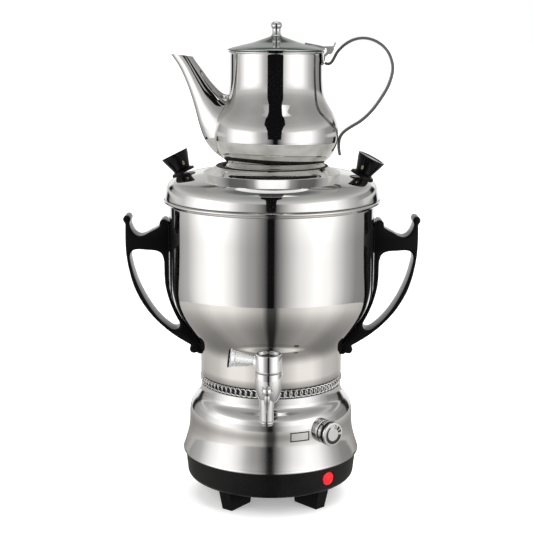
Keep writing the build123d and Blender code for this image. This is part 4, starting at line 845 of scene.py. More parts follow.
# ================================================================ thermostat knob, collar, dial print
knob_m = basis((0, 0, KNOB_Z), front_dir(KNOB_AZ), (math.cos(math.radians(KNOB_AZ)), math.sin(math.radians(KNOB_AZ)), 0))
col = [(5.05, 76.5), (11.0, 76.5), (11.2, 78.6), (11.25, 80.0), (11.25, 84.2)] + arc(10.5, 84.6, 0.75, 0, 90, 5) + [(5.05, 85.35)]
lathe("knob_collar_turned", col, CHROME, "urn", ["thermostat_collar"], matrix=knob_m, segments=96)
kb = [(3.02, KNOB_R0)] + [(9.6, KNOB_R0)] + [(9.6, KNOB_R0 + 1.6)] + arc(10.7, KNOB_R0 + 2.2, 0.55, 180, 0, 6)[1:] + [(11.25, KNOB_R0 + 5.2), (10.9, KNOB_R0 + 5.6), (10.1, KNOB_R0 + 5.7), (10.1, KNOB_R0 + 8.9), (10.9, KNOB_R0 + 9.0), (11.2, KNOB_R0 + 9.3)]
kb += arc(10.35, KNOB_R0 + 10.3, 0.9, 0, 90, 6) + [(9.5, KNOB_R0 + 11.2), (9.3, KNOB_R0 + 11.0), (3.02, KNOB_R0 + 11.0)]
lathe("knob_turned", kb, CHROME, "thermostat_dial", ["thermostat_knob"], matrix=knob_m, segments=96)
kband = [(10.1, KNOB_R0 + 5.65), (11.0, KNOB_R0 + 5.7), (11.3, KNOB_R0 + 6.2), (11.3, KNOB_R0 + 8.4), (11.0, KNOB_R0 + 8.9), (10.1, KNOB_R0 + 8.95)]
lathe("knob_band_moulded", kband, BLACK_KNOB, "thermostat_dial", ["knob_band"], matrix=knob_m, segments=96)
kback = [(9.0, KNOB_R0 - 0.05), (10.9, KNOB_R0 - 0.05), (11.1, KNOB_R0 + 0.3), (11.1, KNOB_R0 + 1.4), (10.9, KNOB_R0 + 1.65), (9.0, KNOB_R0 + 1.65)]
lathe("knob_back_ring", kback, BLACK_KNOB, "thermostat_dial", matrix=knob_m, segments=96)
dface = [(0, KNOB_R0 + 11.0), (9.4, KNOB_R0 + 11.0), (9.4, KNOB_R0 + 11.25), (9.2, KNOB_R0 + 11.4), (0, KNOB_R0 + 11.45)]
lathe("dial_plate", dface, DIAL, "thermostat_dial", ["knob_dial"], matrix=knob_m, segments=96)


def dial_patch(name, pieces_, material=PRINT, z0=KNOB_R0 + 11.42, z1=KNOB_R0 + 11.56):
    """Flat printed shapes on the dial; each piece is a closed outline of (u, v), u to the right and v up."""
    verts, faces = [], []
    for outline in pieces_:
        n, base = len(outline), len(verts)
        for z in (z0, z1):
            for u, v in outline:
                verts.append((u, v, z))
        faces.append(tuple(base + n + i for i in range(n)))
        for i in range(n):
            j = (i + 1) % n
            faces.append((base + i, base + j, base + n + j, base + n + i))
    return make_object(name, verts, faces, material, "thermostat_dial", smooth_angle=25, matrix=knob_m)


def ring_part(a0, a1, inner_, outer_, n=30):
    """Part of a ring from clock angle a0 to a1 (degrees, 0 up, clockwise), its width changing along the way."""
    out, back = [], []
    for i in range(n + 1):
        a = math.radians(a0 + (a1 - a0) * i / n)
        t = i / n
        ro = outer_[0] + (outer_[1] - outer_[0]) * t
        ri = inner_[0] + (inner_[1] - inner_[0]) * t
        out.append((ro * math.sin(a), ro * math.cos(a)))
        back.append((ri * math.sin(a), ri * math.cos(a)))
    return out + back[::-1]


dial_patch("dial_print", [
    ring_part(-28, -150, (6.9, 6.2), (8.4, 9.0)), ring_part(-150, -262, (6.2, 5.6), (9.0, 9.1)),
    ring_part(65, 81, (5.5, 5.5), (9.1, 9.1), 5), ring_part(38, 57, (5.5, 5.5), (9.1, 9.1), 5),
])
zero = [(1.15 * math.cos(2 * math.pi * i / 24), 1.75 * math.sin(2 * math.pi * i / 24)) for i in range(24)]
zv, zf = [], []
for z in (KNOB_R0 + 11.42, KNOB_R0 + 11.56):
    for s in (1.0, 0.55):
        for u, v in zero:
            zv.append((u * s + 2.4, v * (s if s == 1 else 0.66) + 7.0, z))
for i in range(24):
    j = (i + 1) % 24
    zf += [(48 + i, 48 + j, 72 + j, 72 + i), (i, j, 48 + j, 48 + i), (24 + j, 24 + i, 72 + i, 72 + j)]
make_object("dial_zero", zv, zf, PRINT, "thermostat_dial", smooth_angle=25, matrix=knob_m)
# thin turned line round the plate's centre
lathe("dial_line", [(6.0, KNOB_R0 + 11.40), (6.25, KNOB_R0 + 11.55), (6.5, KNOB_R0 + 11.40)], CHROME, "thermostat_dial", matrix=knob_m, segments=72)

# ---------------------------------------------------------------- pilot lamp
lamp_m = basis((0, 0, LAMP_Z), front_dir(LAMP_AZ))
lens = [(4.8, 76.5), (4.8, 82.0), (6.2, 82.0), (6.3, 82.4), (6.3, 83.1), (6.0, 83.5), (5.2, 83.8), (4.9, 84.2), (4.3, 84.9), (3.2, 85.4), (1.6, 85.65), (0, 85.7), (0, 76.5)]
lathe("pilot_lens_moulded", lens, LAMP, "urn", ["pilot_lens"], matrix=lamp_m, segments=64, smooth_angle=50)

# ================================================================ urn lid
LID = [
    (52.4, 322.8), (54.4, 320.9), (57.5, 319.2), (60.4, 318.4), (68.4, 317.2), (77.0, 315.6), (84.5, 313.8), (90.6, 311.6),
    (95.2, 308.9), (98.4, 305.4), (100.2, 301.0), (101.1, 296.4), (101.8, 292.0), (102.4, 288.4),
]
lid_outer = smooth(catmull(LID, 0.5), 3.5)
lid_inner = inset(lid_outer, WALL)[::-1]
prof = [(0, SEAT_Z), (30, SEAT_Z), (50.2, SEAT_Z), (50.9, 321.2), (51.3, 322.1), (51.8, 322.7)] + [tuple(q) for q in lid_outer if q[1] > 292.4] + [(101.6, 292.0), (101.45, 291.6), (101.7, 291.3)] + arc(101.7, 289.7, 1.35, 80, -80, 8) + [(101.6, 287.9)] + [tuple(q) for q in lid_inner if q[0] > 54.6] + [(53.3, SEAT_Z - WALL), (30, SEAT_Z - WALL), (0, SEAT_Z - WALL)]
lathe("urn_lid_polished", prof, STEEL_LID, "urn_lid", ["lid_shell"], segments=256)
# painted shade: a thin near-black line at the lid's hem
lathe("urn_lid_hem_line", [(101.2, 291.3), (101.75, 291.42), (101.7, 291.85), (101.2, 291.9)], PAINTED_SHADE, "urn_lid", segments=192)
# painted shadow: a near-black line where the teapot's foot meets the seat
lathe("teapot_seat_line", [(46.9, 321.1), (46.9, 322.6), (47.5, 322.95), (52.3, 323.05), (53.1, 322.45), (51.4, 321.1)], PAINTED_SHADE, "urn_lid", segments=128)
# steam vents as flat near-black discs on both faces of the lid: painted shade in place of open holes
vents, vf = [], []
for k in range(6):
    for zz in (SEAT_Z + 0.05, SEAT_Z - WALL - 0.05):
        base = len(vents)
        cx, cy = 20 * math.cos(math.radians(60 * k)), 20 * math.sin(math.radians(60 * k))
        for i in range(20):
            vents.append((cx + 1.8 * math.cos(2 * math.pi * i / 20), cy + 1.8 * math.sin(2 * math.pi * i / 20), zz))
        vf.append(tuple(base + i for i in range(20)))
make_object("steam_vents", vents, vf, PAINTED_SHADE, "urn_lid", smooth_angle=0)

KNOB_SIDE = smooth(catmull([(8.1, 3.7), (8.5, 4.8), (9.2, 7.0), (10.8, 11.3), (12.2, 15.3), (13.2, 18.8)], 0.4), 2.0)
for side, (a, name) in enumerate(((-LID_KNOB_AZ, "lid_knob_right"), (180 - LID_KNOB_AZ, "lid_knob_left"))):
    ca, sa = math.cos(math.radians(a)), math.sin(math.radians(a))
    n = (math.sin(math.radians(KNOB_TILT)) * ca, math.sin(math.radians(KNOB_TILT)) * sa, math.cos(math.radians(KNOB_TILT)))
    km = basis((KNOB_RADIUS * ca, KNOB_RADIUS * sa, KNOB_SURF_Z), n, (-sa, ca, 0))
    kp = [(0, 3.6), (7.4, 3.6)] + list(map(tuple, KNOB_SIDE)) + arc(12.75, 19.15, 0.55, 0, 90, 5) + [(11.4, 19.6), (10.6, 19.2), (9.6, 18.9), (5.0, 18.8), (0, 18.8)]
    lathe(name + "_moulded", kp, BLACK_KNOB, "urn_lid", [name], matrix=km, segments=80, smooth_angle=38)
    fl = [(2.2, 0.1), (11.2, 0.1), (11.5, 0.5), (11.45, 1.2)] + arc(10.2, 1.4, 1.1, 0, 80, 5) + [(9.5, 2.8), (8.7, 3.25), (8.2, 3.75), (2.2, 3.75)]
    lathe(name + "_flange", fl, BLACK_KNOB, "urn_lid", ["lid_knob_flanges"], matrix=km, segments=80, smooth_angle=38)
    # small pale spot low on the cone, facing the front: a painted reflection of the lid's lit steel
    inner = -1 if ca > 0 else 1
    iz, ir = 8.2, 9.62
    ia = math.atan2(-1.0, 0.55 * inner)
    px, py = math.cos(ia), math.sin(ia)
    ov, of_ = [], []
    for q in range(20):
        t_ = 2 * math.pi * q / 20
        du, dz_ = 1.2 * math.cos(t_), 2.4 * math.sin(t_)
        r_ = ir + 0.42 * dz_ + 0.1
        aa = ia + du / r_
        ov.append((r_ * math.cos(aa), r_ * math.sin(aa), iz + dz_))
    ov.append(((ir + 0.22) * math.cos(ia), (ir + 0.22) * math.sin(ia), iz))
    of_ = [(20, q, (q + 1) % 20) for q in range(20)]
    make_object(name + "_inlay", ov, of_, KNOB_REFLECTION_SPOT, "urn_lid", matrix=basis((KNOB_RADIUS * ca, KNOB_RADIUS * sa, KNOB_SURF_Z), n, (1, 0, 0)))
    # painted shade: a near-black line where the flange meets the steel
    lathe(name + "_seat", [(10.8, -0.25), (11.7, -0.2), (11.7, 0.12), (10.8, 0.12)], PAINTED_SHADE, "urn_lid", matrix=km, segments=64)

# ================================================================ teapot
POT = [
    (43.3, 424.0), (43.3, 412.0), (43.6, 400.0), (44.5, 391.2), (46.7, 384.3), (50.1, 378.1), (54.2, 371.3), (57.3, 363.4),
    (58.6, 354.0), (57.6, 343.8), (54.1, 335.5), (49.7, 329.6), (46.1, 326.2), (44.4, 324.2),
]
pot_outer = smooth(catmull(POT, 0.5), 4.0)
pot_inner = inset(pot_outer, WALL)[::-1]
rim = arc(43.7, 428.2, 1.25, 150, -100, 12)
prof = [(42.5, 428.6)] + rim + [(43.3, 426.6), (43.3, 425.0)] + list(map(tuple, pot_outer)) + [(43.9, 323.4), (20, 323.4), (0, 323.4), (0, 324.2), (20, 324.2), (43.0, 324.2)] + list(map(tuple, pot_inner)) + [(42.5, 426.5)]
C = (POT_X, 0.0)
lathe("teapot_body_polished", prof, STEEL_POT, "teapot", ["teapot_body"], centre=C, segments=224)
foot = [(0, POT_Z + 1.3), (0, POT_Z + 2.3), (43.6, POT_Z + 2.35), (45.2, POT_Z + 2.2)] + arc(45.9, POT_Z + 1.05, 1.15, 80, -80, 8) + [(44.8, POT_Z), (43.4, POT_Z + 0.2), (42.6, POT_Z + 1.3)]
lathe("teapot_foot_spun", foot, STEEL_POT, "teapot", ["teapot_foot"], centre=C, segments=192)

# spout: closed sections lofted along its run, hollow at the lip
SPOUT = [
    ((-40.0, 327.0), (-35.0, 389.0), 20.0), ((-47.0, 327.6), (-40.0, 388.6), 19.4), ((-53.5, 331.0), (-45.6, 388.4), 18.0), ((-59.0, 335.6), (-49.0, 389.4), 16.6),
    ((-63.8, 341.2), (-52.2, 391.6), 15.0), ((-67.6, 347.2), (-55.0, 394.4), 13.6), ((-70.2, 353.8), (-58.2, 397.8), 12.2), ((-72.4, 361.2), (-61.6, 401.8), 11.1),
    ((-74.4, 369.4), (-64.8, 406.0), 10.2), ((-76.6, 378.4), (-67.6, 410.0), 9.4), ((-79.3, 387.6), (-70.4, 413.6), 8.8), ((-82.4, 396.6), (-72.8, 416.8), 8.3),
    ((-85.9, 405.4), (-74.8, 419.4), 7.9), ((-90.2, 414.4), (-76.2, 421.4), 7.5), ((-94.6, 421.2), (-77.0, 422.8), 7.1), ((-98.2, 425.9), (-77.4, 423.6), 6.8),
]


def spout_section(o, i, half, shrink, n=48):
    (ox, oz), (ix, iz) = o, i
    mx, mz = (ox + ix) / 2 + POT_X, (oz + iz) / 2
    dx, dz = (ix - ox) / 2, (iz - oz) / 2
    length = math.hypot(dx, dz)
    k = max(length - shrink, 0.5) / length
    pts = []
    for j in range(n):
        a = 2 * math.pi * j / n
        pts.append((mx + dx * k * math.cos(a), (half - shrink) * math.sin(a), mz + dz * k * math.cos(a)))
    return pts


raw = np.array([[o[0], o[1], i[0], i[1], h] for o, i, h in SPOUT])
t_raw = np.linspace(0, 1, len(raw))
t_fine = np.linspace(0, 1, 76)
fine = np.stack([np.interp(t_fine, t_raw, raw[:, k]) for k in range(5)], 1)
fine = smooth(fine, 3.0)
verts, faces = [], []
N = 56
rows = []
for f in fine:
    rows.append(spout_section((f[0], f[1]), (f[2], f[3]), f[4], 0.0, N))
for f in fine[::-1][:60]:
    rows.append(spout_section((f[0], f[1]), (f[2], f[3]), f[4], 1.0, N))
for r in rows:
    verts += r
for i in range(len(rows) - 1):
    for j in range(N):
        l = (j + 1) % N
        faces.append((i * N + j, i * N + l, (i + 1) * N + l, (i + 1) * N + j))
make_object("teapot_spout_formed", verts, faces, STEEL_POT, "teapot", ["teapot_spout"], smooth_angle=50)
# seam bead where the spout is welded to the belly
seam = []
for j in range(80):
    a = 2 * math.pi * j / 80
    # where a section ellipse meets the pot's wall: search along the run
    best = None
    for f in fine[:40]:
        mx, mz = (f[0] + f[2]) / 2, (f[1] + f[3]) / 2
        dx, dz = (f[2] - f[0]) / 2, (f[3] - f[1]) / 2
        x, y, z = mx + dx * math.cos(a), f[4] * math.sin(a), mz + dz * math.cos(a)
        rp = np.interp(z, pot_outer[::-1, 1], pot_outer[::-1, 0])
        g = math.hypot(x, y) - rp
        if best is None or abs(g) < best[0]:
            best = (abs(g), x, y, z)
    seam.append((best[1] + POT_X, best[2], best[3]))
seam = smooth(resample(np.array(seam), 1.2, closed=True), 2.0, closed=True)
tube("spout_seam", seam, 0.55, STEEL_POT, "teapot", sides=10, closed=True)

# strip handle: a flat ribbon with rounded edges
STRIP = [
    (45.1, 418.5), (47.4, 417.0), (50.4, 417.9), (53.2, 422.0), (56.6, 428.4), (63.0, 434.8), (71.3, 439.6), (81.5, 441.2),
    (92.6, 438.2), (102.2, 430.6), (107.0, 421.4), (108.3, 413.6), (107.4, 406.4), (104.0, 396.4), (98.6, 387.0), (91.4, 376.6),
    (84.2, 368.8), (77.4, 363.4), (70.0, 359.0), (63.4, 354.2), (60.2, 349.6), (59.3, 344.2), (59.3, 338.8), (60.4, 332.8),
]
line = smooth(catmull(STRIP, 0.6), 2.5)
d = np.gradient(line, axis=0)
d /= np.linalg.norm(d, axis=1)[:, None]
nrm = np.stack([d[:, 1], -d[:, 0]], 1)
cross = []
half_w, half_t = 6.4, 1.36
for a in range(0, 360, 15):
    c, s = math.cos(math.radians(a)), math.sin(math.radians(a))
    q = (abs(c) ** 7 + abs(s) ** 5) ** (-1 / 6.0)
    cross.append((max(-1, min(1, c * q)) * half_w, max(-1, min(1, s * q)) * half_t))
K = len(cross)
verts, faces = [], []
for (x, z), (nx_, nz_) in zip(line, nrm):
    for w, t in cross:
        verts.append((x + POT_X + nx_ * t, w, z + nz_ * t))
for i in range(len(line) - 1):
    for j in range(K):
        l = (j + 1) % K
        faces.append((i * K + j, i * K + l, (i + 1) * K + l, (i + 1) * K + j))
faces += [tuple(range(K - 1, -1, -1)), tuple((len(line) - 1) * K + j for j in range(K))]
make_object("teapot_handle_strip", verts, faces, STEEL_STRIP_SHADED, "teapot", ["teapot_handle"], smooth_angle=45)

# ---------------------------------------------------------------- teapot lid
POTLID = [(4.0, 443.0), (8.7, 441.3), (15.0, 439.1), (21.2, 436.9), (24.0, 436.2), (31.0, 434.6), (38.6, 433.0), (43.4, 431.6), (45.7, 430.7)]
lid_o = smooth(catmull(POTLID, 0.5), 3.0)
lid_i = inset(lid_o, WALL)[::-1]
prof = [(0, 443.2), (2.5, 443.15)] + list(map(tuple, lid_o)) + [(46.0, 430.4), (46.0, 429.9), (45.5, 429.8)] + list(map(tuple, lid_i[:8])) + [(41.6, 431.0), (41.6, 423.8), (40.8, 423.8), (40.8, 431.2)] + [tuple(q) for q in lid_i[12:] if q[0] < 40.6] + [(0, 442.3)]
lathe("teapot_lid_spun", prof, STEEL_POT_LID_SHADED, "teapot_cover", ["teapot_lid"], centre=C, segments=192)
fin = smooth(catmull([(5.2, 442.9), (4.3, 443.9), (3.85, 446.0), (3.85, 448.4), (4.4, 450.2), (5.1, 451.4), (5.2, 453.0), (4.4, 454.8), (2.6, 455.7), (0.0, 455.95)], 0.2), 2.0)
fin = [tuple(p) for p in fin]
fin[-1] = (0.0, 455.95)
lathe("lid_finial_turned", [(0, 442.6), (5.6, 442.6)] + fin, CHROME, "teapot_cover", ["lid_finial"], centre=C, segments=72)
for k, z in enumerate((445.2, 446.6, 448.0)):
    lathe(f"finial_ring_{k}", [(3.6, z - 0.25), (4.1, z), (3.6, z + 0.25)], CHROME, "teapot_cover", centre=C, segments=48)

# ================================================================ floor, studio, camera
def emission_material(name, build):
    m = bpy.data.materials.new(name)
    m.use_nodes = True
    nt = m.node_tree
    nt.nodes.clear()
    out = nt.nodes.new("ShaderNodeOutputMaterial")
    em = nt.nodes.new("ShaderNodeEmission")
    nt.links.new(em.outputs[0], out.inputs[0])
    build(nt, em)
    return m


def product(nt, a, b):
    mixn = nt.nodes.new("ShaderNodeMix")
    mixn.data_type = "RGBA"
    mixn.blend_type = "MULTIPLY"
    mixn.inputs["Factor"].default_value = 1.0
    nt.links.new(a, mixn.inputs["A"])
    nt.links.new(b, mixn.inputs["B"])
    return mixn.outputs["Result"]


def floor_material():
    m, nt, b = new_material("pale_floor")
    co = object_coord(nt)
    n = noise(nt, co, 3.0, 3.0, 0.5)
    nt.links.new(ramp(nt, n, [(0.3, (0.86, 0.86, 0.86)), (0.7, (0.875, 0.875, 0.872))]), b.inputs["Base Color"])
    b.inputs["Roughness"].default_value = 0.9
    b.inputs["Specular IOR Level"].default_value = 0.1
    b.inputs["Emission Color"].default_value = (1, 1, 1, 1)
    b.inputs["Emission Strength"].default_value = 0.3
    return m


me = bpy.data.meshes.new("floor")
me.from_pydata([(-30, -30, 0), (30, -30, 0), (30, 30, 0), (-30, 30, 0)], [], [(0, 1, 2, 3)])
me.materials.append(floor_material())
floor = bpy.data.objects.new("floor", me)
scene.collection.objects.link(floor)
floor.visible_glossy = False

# table card: what the polished steel sees of the table, with painted shadow and light on it
def table_build(nt, em):
    co = object_coord(nt)
    sep = nt.nodes.new("ShaderNodeSeparateXYZ")
    nt.links.new(co, sep.inputs[0])
    r = math_node(nt, "SQRT", math_node(nt, "ADD", math_node(nt, "POWER", sep.outputs[0], 2.0), math_node(nt, "POWER", sep.outputs[1], 2.0)))
    az = math_node(nt, "ARCTAN2", sep.outputs[0], math_node(nt, "MULTIPLY", sep.outputs[1], -1.0))
    az = math_node(nt, "DIVIDE", math_node(nt, "ABSOLUTE", az), math.pi)
    warm = lambda v: (v, v * 0.972, v * 0.94)
    # painted shadow: darker towards the middle, where the urn's shadow falls on the table
    c = ramp(nt, math_node(nt, "MULTIPLY", r, 1.6), [(0.0, warm(0.26)), (0.16, warm(0.30)), (0.272, warm(0.36)), (0.432, warm(0.56)), (0.72, warm(0.92)), (0.96, warm(1.0))])
    # painted light: dark in front, brightest to the sides where the softboxes light the table
    painted_light_by_azimuth = ramp(nt, az, [(0.0, 0.06), (4.0 / 180, 0.07), (10 / 180, 0.5), (22 / 180, 0.72), (42 / 180, 1.1), (66 / 180, 1.1), (90 / 180, 0.72), (130 / 180, 0.55), (1.0, 0.7)])
    nt.links.new(product(nt, c, painted_light_by_azimuth), em.inputs["Color"])
    em.inputs["Strength"].default_value = 1.0


me = bpy.data.meshes.new("table_card")
seg = 96
tv = [(0, 0, 0)] + [(0.62 * math.cos(2 * math.pi * i / seg), 0.62 * math.sin(2 * math.pi * i / seg), 0) for i in range(seg)]
me.from_pydata(tv, [], [(0, 1 + i, 1 + (i + 1) % seg) for i in range(seg)])
me.materials.append(emission_material("table_card", table_build))
card = bpy.data.objects.new("table_card", me)
scene.collection.objects.link(card)
card.location = (0, 0, 0.0002)


# studio wall: softboxes, gaps and dark cards, as the steel sees them
def wall_build(nt, em):
    co = object_coord(nt)
    sep = nt.nodes.new("ShaderNodeSeparateXYZ")
    nt.links.new(co, sep.inputs[0])
    # azimuth from the front, 0.5 straight ahead, more to the right
    az = math_node(nt, "ARCTAN2", sep.outputs[0], math_node(nt, "MULTIPLY", sep.outputs[1], -1.0))
    az = math_node(nt, "MULTIPLY_ADD", az, 1 / (2 * math.pi), 0.5)
    side = ramp(nt, az, [(d_ / 360.0 + 0.5, v) for d_, v in (
        (-180, 1.0), (-146, 1.0), (-141, 0.01), (-133, 0.01), (-129, 0.32), (-116, 0.42), (-100, 0.54), (-90, 0.84), (-81, 1.1), (-65, 1.4),
        (-50, 1.28), (-40, 0.98), (-31, 0.59), (-24, 0.43), (-17, 0.36), (-8, 0.15), (-3.6, 0.007), (2, 0.007), (5, 0.13), (10, 0.32),
        (19, 0.68), (28, 1.0), (47, 1.35), (62, 1.2), (72, 0.88), (84, 0.53), (100, 0.30), (125, 0.25), (129, 0.01), (140, 0.01), (145, 1.0),
    )])
    # the softboxes fade towards their tops, the wall behind the object stays bright to a greater height
    fade = ramp(nt, sep.outputs[2], [(0.0, 1.0), (0.17, 1.0), (0.21, 1.25), (0.42, 1.2), (0.60, 0.72), (0.75, 0.62), (1.0, 0.58)])
    fade_back = ramp(nt, sep.outputs[2], [(0.0, 1.0), (0.30, 1.0), (0.62, 0.86), (0.80, 0.62), (0.86, 0.20), (1.0, 0.14)])
    behind = ramp(nt, az, [(0.0, 1.0), (0.095, 1.0), (0.125, 0.0), (0.875, 0.0), (0.905, 1.0)])
    mixf = nt.nodes.new("ShaderNodeMix")
    mixf.data_type = "RGBA"
    nt.links.new(behind, mixf.inputs["Factor"])
    nt.links.new(fade, mixf.inputs["A"])
    nt.links.new(fade_back, mixf.inputs["B"])
    # high up the sides even out
    even = nt.nodes.new("ShaderNodeMix")
    even.data_type = "RGBA"
    high = ramp(nt, sep.outputs[2], [(0.0, 0.0), (0.425, 0.0), (0.47, 0.85), (1.0, 0.85)])
    rim_z = ramp(nt, sep.outputs[2], [(0.0, 0.0), (0.285, 0.0), (0.30, 0.85), (0.33, 0.85), (0.345, 0.0)])
    flank = ramp(nt, az, [(0.0, 1.0), (0.20, 1.0), (0.24, 0.0), (0.76, 0.0), (0.80, 1.0)])
    nt.links.new(math_node(nt, "ADD", high, math_node(nt, "MULTIPLY", rim_z, flank)), even.inputs["Factor"])
    nt.links.new(side, even.inputs["A"])
    even.inputs["B"].default_value = (0.62, 0.62, 0.61, 1)
    nt.links.new(product(nt, even.outputs["Result"], mixf.outputs["Result"]), em.inputs["Color"])
    em.inputs["Strength"].default_value = 1.0


def wall_mesh(name, radius, z0, z1, a0, a1, material, n=180):
    verts_, faces_ = [], []
    for i in range(n + 1):
        a = math.radians(a0 + (a1 - a0) * i / n)
        x, y = radius * math.sin(a), -radius * math.cos(a)
        verts_ += [(x, y, z0), (x, y, z1)]
    for i in range(n):
        faces_.append((2 * i, 2 * i + 2, 2 * i + 3, 2 * i + 1))
    me_ = bpy.data.meshes.new(name)
    me_.from_pydata(verts_, [], faces_)
    me_.materials.append(material)
    o_ = bpy.data.objects.new(name, me_)
    scene.collection.objects.link(o_)
    return o_


wall = wall_mesh("studio_wall", 0.60, 0.0, 1.0, -180, 180, emission_material("studio_wall", wall_build))


# dark card in front, where the camera stands: narrow low down, wider higher up
def dark_build(nt, em):
    em.inputs["Color"].default_value = (0.006, 0.006, 0.007, 1)
    em.inputs["Strength"].default_value = 1.0


me = bpy.data.meshes.new("dark_card")
R_ = 0.585
vv, ff = [], []
levels = [(0.0, 3.0), (0.24, 3.3), (0.32, 4.5), (0.45, 5.0), (0.62, 6.0), (0.72, 12.0), (0.98, 13.0)]
for z, w in levels:
    for k in range(-8, 9):
        a = math.radians(w * k / 8 - 0.8)
        vv.append((R_ * math.sin(a), -R_ * math.cos(a), z))
for i in range(len(levels) - 1):
    for k in range(16):
        ff.append((i * 17 + k, i * 17 + k + 1, (i + 1) * 17 + k + 1, (i + 1) * 17 + k))
me.from_pydata(vv, [], ff)
me.materials.append(emission_material("dark_card", dark_build))
dark = bpy.data.objects.new("dark_card", me)
scene.collection.objects.link(dark)


# light panels overhead, for the lids
def overhead_build(nt, em):
    co = object_coord(nt)
    sep = nt.nodes.new("ShaderNodeSeparateXYZ")
    nt.links.new(co, sep.inputs[0])
    # brightest over the object, weaker to the sides and in front
    along = ramp(nt, math_node(nt, "MULTIPLY_ADD", sep.outputs[1], 1.0, 0.5), [(0.0, 0.45), (0.25, 0.5), (0.36, 0.9), (0.8, 1.15), (1.0, 1.0)])
    across = ramp(nt, math_node(nt, "ABSOLUTE", sep.outputs[0]), [(0.0, 1.0), (0.2, 1.0), (0.30, 0.44), (0.7, 0.40)])
    nt.links.new(product(nt, along, across), em.inputs["Color"])
    em.inputs["Strength"].default_value = 1.0


me = bpy.data.meshes.new("overhead_card")
vv, ff = [], []
for cx, cy, rx, ry in ((0.0, 0.17, 0.19, 0.30),):
    n0 = len(vv)
    vv += [(cx + rx * math.cos(math.radians(7.5 * i)), cy + ry * math.sin(math.radians(7.5 * i)), 0.9) for i in range(48)]
    ff.append(tuple(range(n0, n0 + 48)))
me.from_pydata(vv, [], ff)
me.materials.append(emission_material("overhead_card", overhead_build))
overhead_card = bpy.data.objects.new("overhead_card", me)
scene.collection.objects.link(overhead_card)

# small lamp over the front with the dark card across it, seen in the belly of the pot and on the base
def lens_build(nt, em):
    co = object_coord(nt)
    sep = nt.nodes.new("ShaderNodeSeparateXYZ")
    nt.links.new(co, sep.inputs[0])
    c = ramp(nt, math_node(nt, "MULTIPLY_ADD", sep.outputs[0], 1.25, 0.5), [(0.12, 0.35), (0.34, 0.62), (0.35, 0.007), (0.63, 0.007), (0.64, 1.6), (0.74, 1.1), (0.88, 0.5)])
    nt.links.new(c, em.inputs["Color"])
    em.inputs["Strength"].default_value = 1.0


me = bpy.data.meshes.new("front_lamp_card")
me.from_pydata([(0.30 * math.cos(math.radians(7.5 * i)), 0.078 * math.sin(math.radians(7.5 * i)) * abs(math.sin(math.radians(7.5 * i))) ** 0.5, 0.0) for i in range(48)], [], [tuple(range(48))])
me.materials.append(emission_material("front_lamp_card", lens_build))
lens_card = bpy.data.objects.new("front_lamp_card", me)
scene.collection.objects.link(lens_card)
lens_card.location = (0.0, -0.375, 0.9)

# dark flag close to the pot, which only the pot mirrors
me = bpy.data.meshes.new("pot_flag")
vv, ff = [], []
flag = [(0.345, 0.0158), (0.370, 0.0178), (0.385, 0.0228), (0.395, 0.0285), (0.428, 0.0292), (0.445, 0.0262), (0.520, 0.0262)]
for z, w in flag:
    vv += [(-w - 0.0005, -0.105, z), (w - 0.0005, -0.105, z)]
for i in range(len(flag) - 1):
    ff.append((2 * i, 2 * i + 1, 2 * i + 3, 2 * i + 2))
me.from_pydata(vv, [], ff)
me.materials.append(emission_material("pot_flag", dark_build))
pot_flag = bpy.data.objects.new("pot_flag", me)
scene.collection.objects.link(pot_flag)


# grey collar of card round the foot of the pot: tones down what the pot and the lid see of each other
def collar_out_build(nt, em):
    co = object_coord(nt)
    sep = nt.nodes.new("ShaderNodeSeparateXYZ")
    nt.links.new(co, sep.inputs[0])
    az = math_node(nt, "ARCTAN2", sep.outputs[0], math_node(nt, "MULTIPLY", sep.outputs[1], -1.0))
    az = math_node(nt, "DIVIDE", math_node(nt, "ABSOLUTE", az), math.pi)
    c = ramp(nt, az, [(0.0, 1.3), (10 / 180, 1.2), (15 / 180, 0.35), (22 / 180, 0.15), (36 / 180, 0.13), (46 / 180, 0.42), (70 / 180, 0.75), (1.0, 0.85)])
    nt.links.new(c, em.inputs["Color"])
    em.inputs["Strength"].default_value = 1.0


def collar_in_build(nt, em):
    co = object_coord(nt)
    sep = nt.nodes.new("ShaderNodeSeparateXYZ")
    nt.links.new(co, sep.inputs[0])
    n_ = noise(nt, co, 26.0, 2.0, 0.5)
    c = ramp(nt, n_, [(0.3, (0.40, 0.41, 0.385)), (0.7, (0.78, 0.77, 0.73))])
    nt.links.new(c, em.inputs["Color"])
    em.inputs["Strength"].default_value = 1.0


def collar_mesh(name, r0, z0, r1, z1, build, half=52.0):
    n_ = 64
    me_ = bpy.data.meshes.new(name)
    an = [math.radians(-half + 2 * half * i / (n_ - 1)) for i in range(n_)]
    v_ = [(r * math.sin(a_), -r * math.cos(a_), z) for r, z in ((r0, z0), (r1, z1)) for a_ in an]
    me_.from_pydata(v_, [], [(i, i + 1, n_ + i + 1, n_ + i) for i in range(n_ - 1)])
    me_.materials.append(emission_material(name, build))
    o_ = bpy.data.objects.new(name, me_)
    scene.collection.objects.link(o_)
    return o_


collar_out = collar_mesh("collar_outside", 0.066, 0.3192, 0.0725, 0.341, collar_out_build)
collar_in = collar_mesh("collar_inside", 0.065, 0.3192, 0.0715, 0.341, collar_in_build, 180.0)

for o in (card, wall, dark, overhead_card, lens_card, pot_flag, collar_out, collar_in):
    o.visible_camera = False
    o.visible_diffuse = False
    o.visible_shadow = False
    o.visible_transmission = False

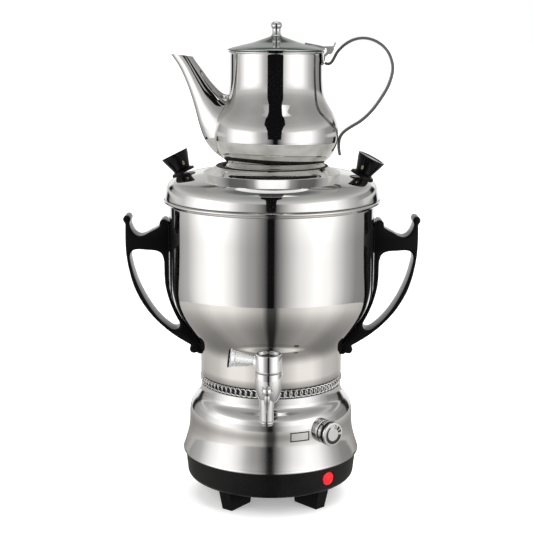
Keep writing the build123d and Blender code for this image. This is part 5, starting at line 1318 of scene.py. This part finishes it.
# world: white low down, dim grey overhead
world = bpy.data.worlds.new("studio")
scene.world = world
world.use_nodes = True
nt = world.node_tree
nt.nodes.clear()
out = nt.nodes.new("ShaderNodeOutputWorld")
bg = nt.nodes.new("ShaderNodeBackground")
nt.links.new(bg.outputs[0], out.inputs[0])
tc = nt.nodes.new("ShaderNodeTexCoord")
sep = nt.nodes.new("ShaderNodeSeparateXYZ")
nt.links.new(tc.outputs["Generated"], sep.inputs[0])
c = ramp(nt, sep.outputs[2], [(0.0, (1.0, 1.0, 1.0)), (0.22, (1.0, 1.0, 1.0)), (0.45, (0.52, 0.52, 0.51)), (0.72, (0.42, 0.42, 0.41)), (0.86, (0.36, 0.365, 0.355)), (0.93, (0.15, 0.163, 0.158)), (1.0, (0.14, 0.153, 0.148))])
nt.links.new(c, bg.inputs["Color"])
bg.inputs["Strength"].default_value = 1.0

sun = bpy.data.lights.new("overhead", "SUN")
sun.energy = 2.9
sun.angle = math.radians(70)
so = bpy.data.objects.new("overhead", sun)
scene.collection.objects.link(so)
so.rotation_euler = (math.radians(-12), math.radians(8), 0)
so.visible_glossy = False

for name, loc, target, size, power in (
    ("key_left", (-0.85, -0.75, 0.75), (0, 0, 0.2), 0.9, 9.0),
    ("key_right", (0.85, -0.70, 0.70), (0, 0, 0.2), 0.9, 8.0),
):
    l = bpy.data.lights.new(name, "AREA")
    l.shape = "SQUARE"
    l.size = size
    l.energy = power
    lo = bpy.data.objects.new(name, l)
    scene.collection.objects.link(lo)
    lo.location = loc
    lo.rotation_euler = (Vector(target) - Vector(loc)).to_track_quat("-Z", "Y").to_euler()
    lo.visible_glossy = False
    lo.visible_camera = False

# the wall behind the tap and the knob stays free of their small images
for o in scene.objects:
    if o.name.startswith(("tap_", "lever_cap", "knob_", "dial_", "thermostat_knob", "thermostat_shaft", "badge_border", "front_badge")) and o.type == "MESH":
        o.visible_glossy = False

# camera: 10.8 degrees down
cam_data = bpy.data.cameras.new("camera")
cam = bpy.data.objects.new("camera", cam_data)
scene.collection.objects.link(cam)
scene.camera = cam
cam_data.lens = 85.0
cam_data.sensor_width = 36.0
pitch, distance, aim, roll = math.radians(10.8), 1.20813, Vector((-0.0048, 0.0, 0.225)), math.radians(0.25)
spot = aim + Vector((0, -distance * math.cos(pitch), distance * math.sin(pitch)))
cam.matrix_world = Matrix.Translation(spot) @ Matrix.Rotation(math.radians(90) - pitch, 4, "X") @ Matrix.Rotation(roll, 4, "Z")
cam_data.clip_start = 0.05
cam_data.clip_end = 100.0

scene.view_settings.view_transform = "Standard"
scene.view_settings.look = "None"
scene.view_settings.exposure = 0.0
scene.view_settings.gamma = 1.0
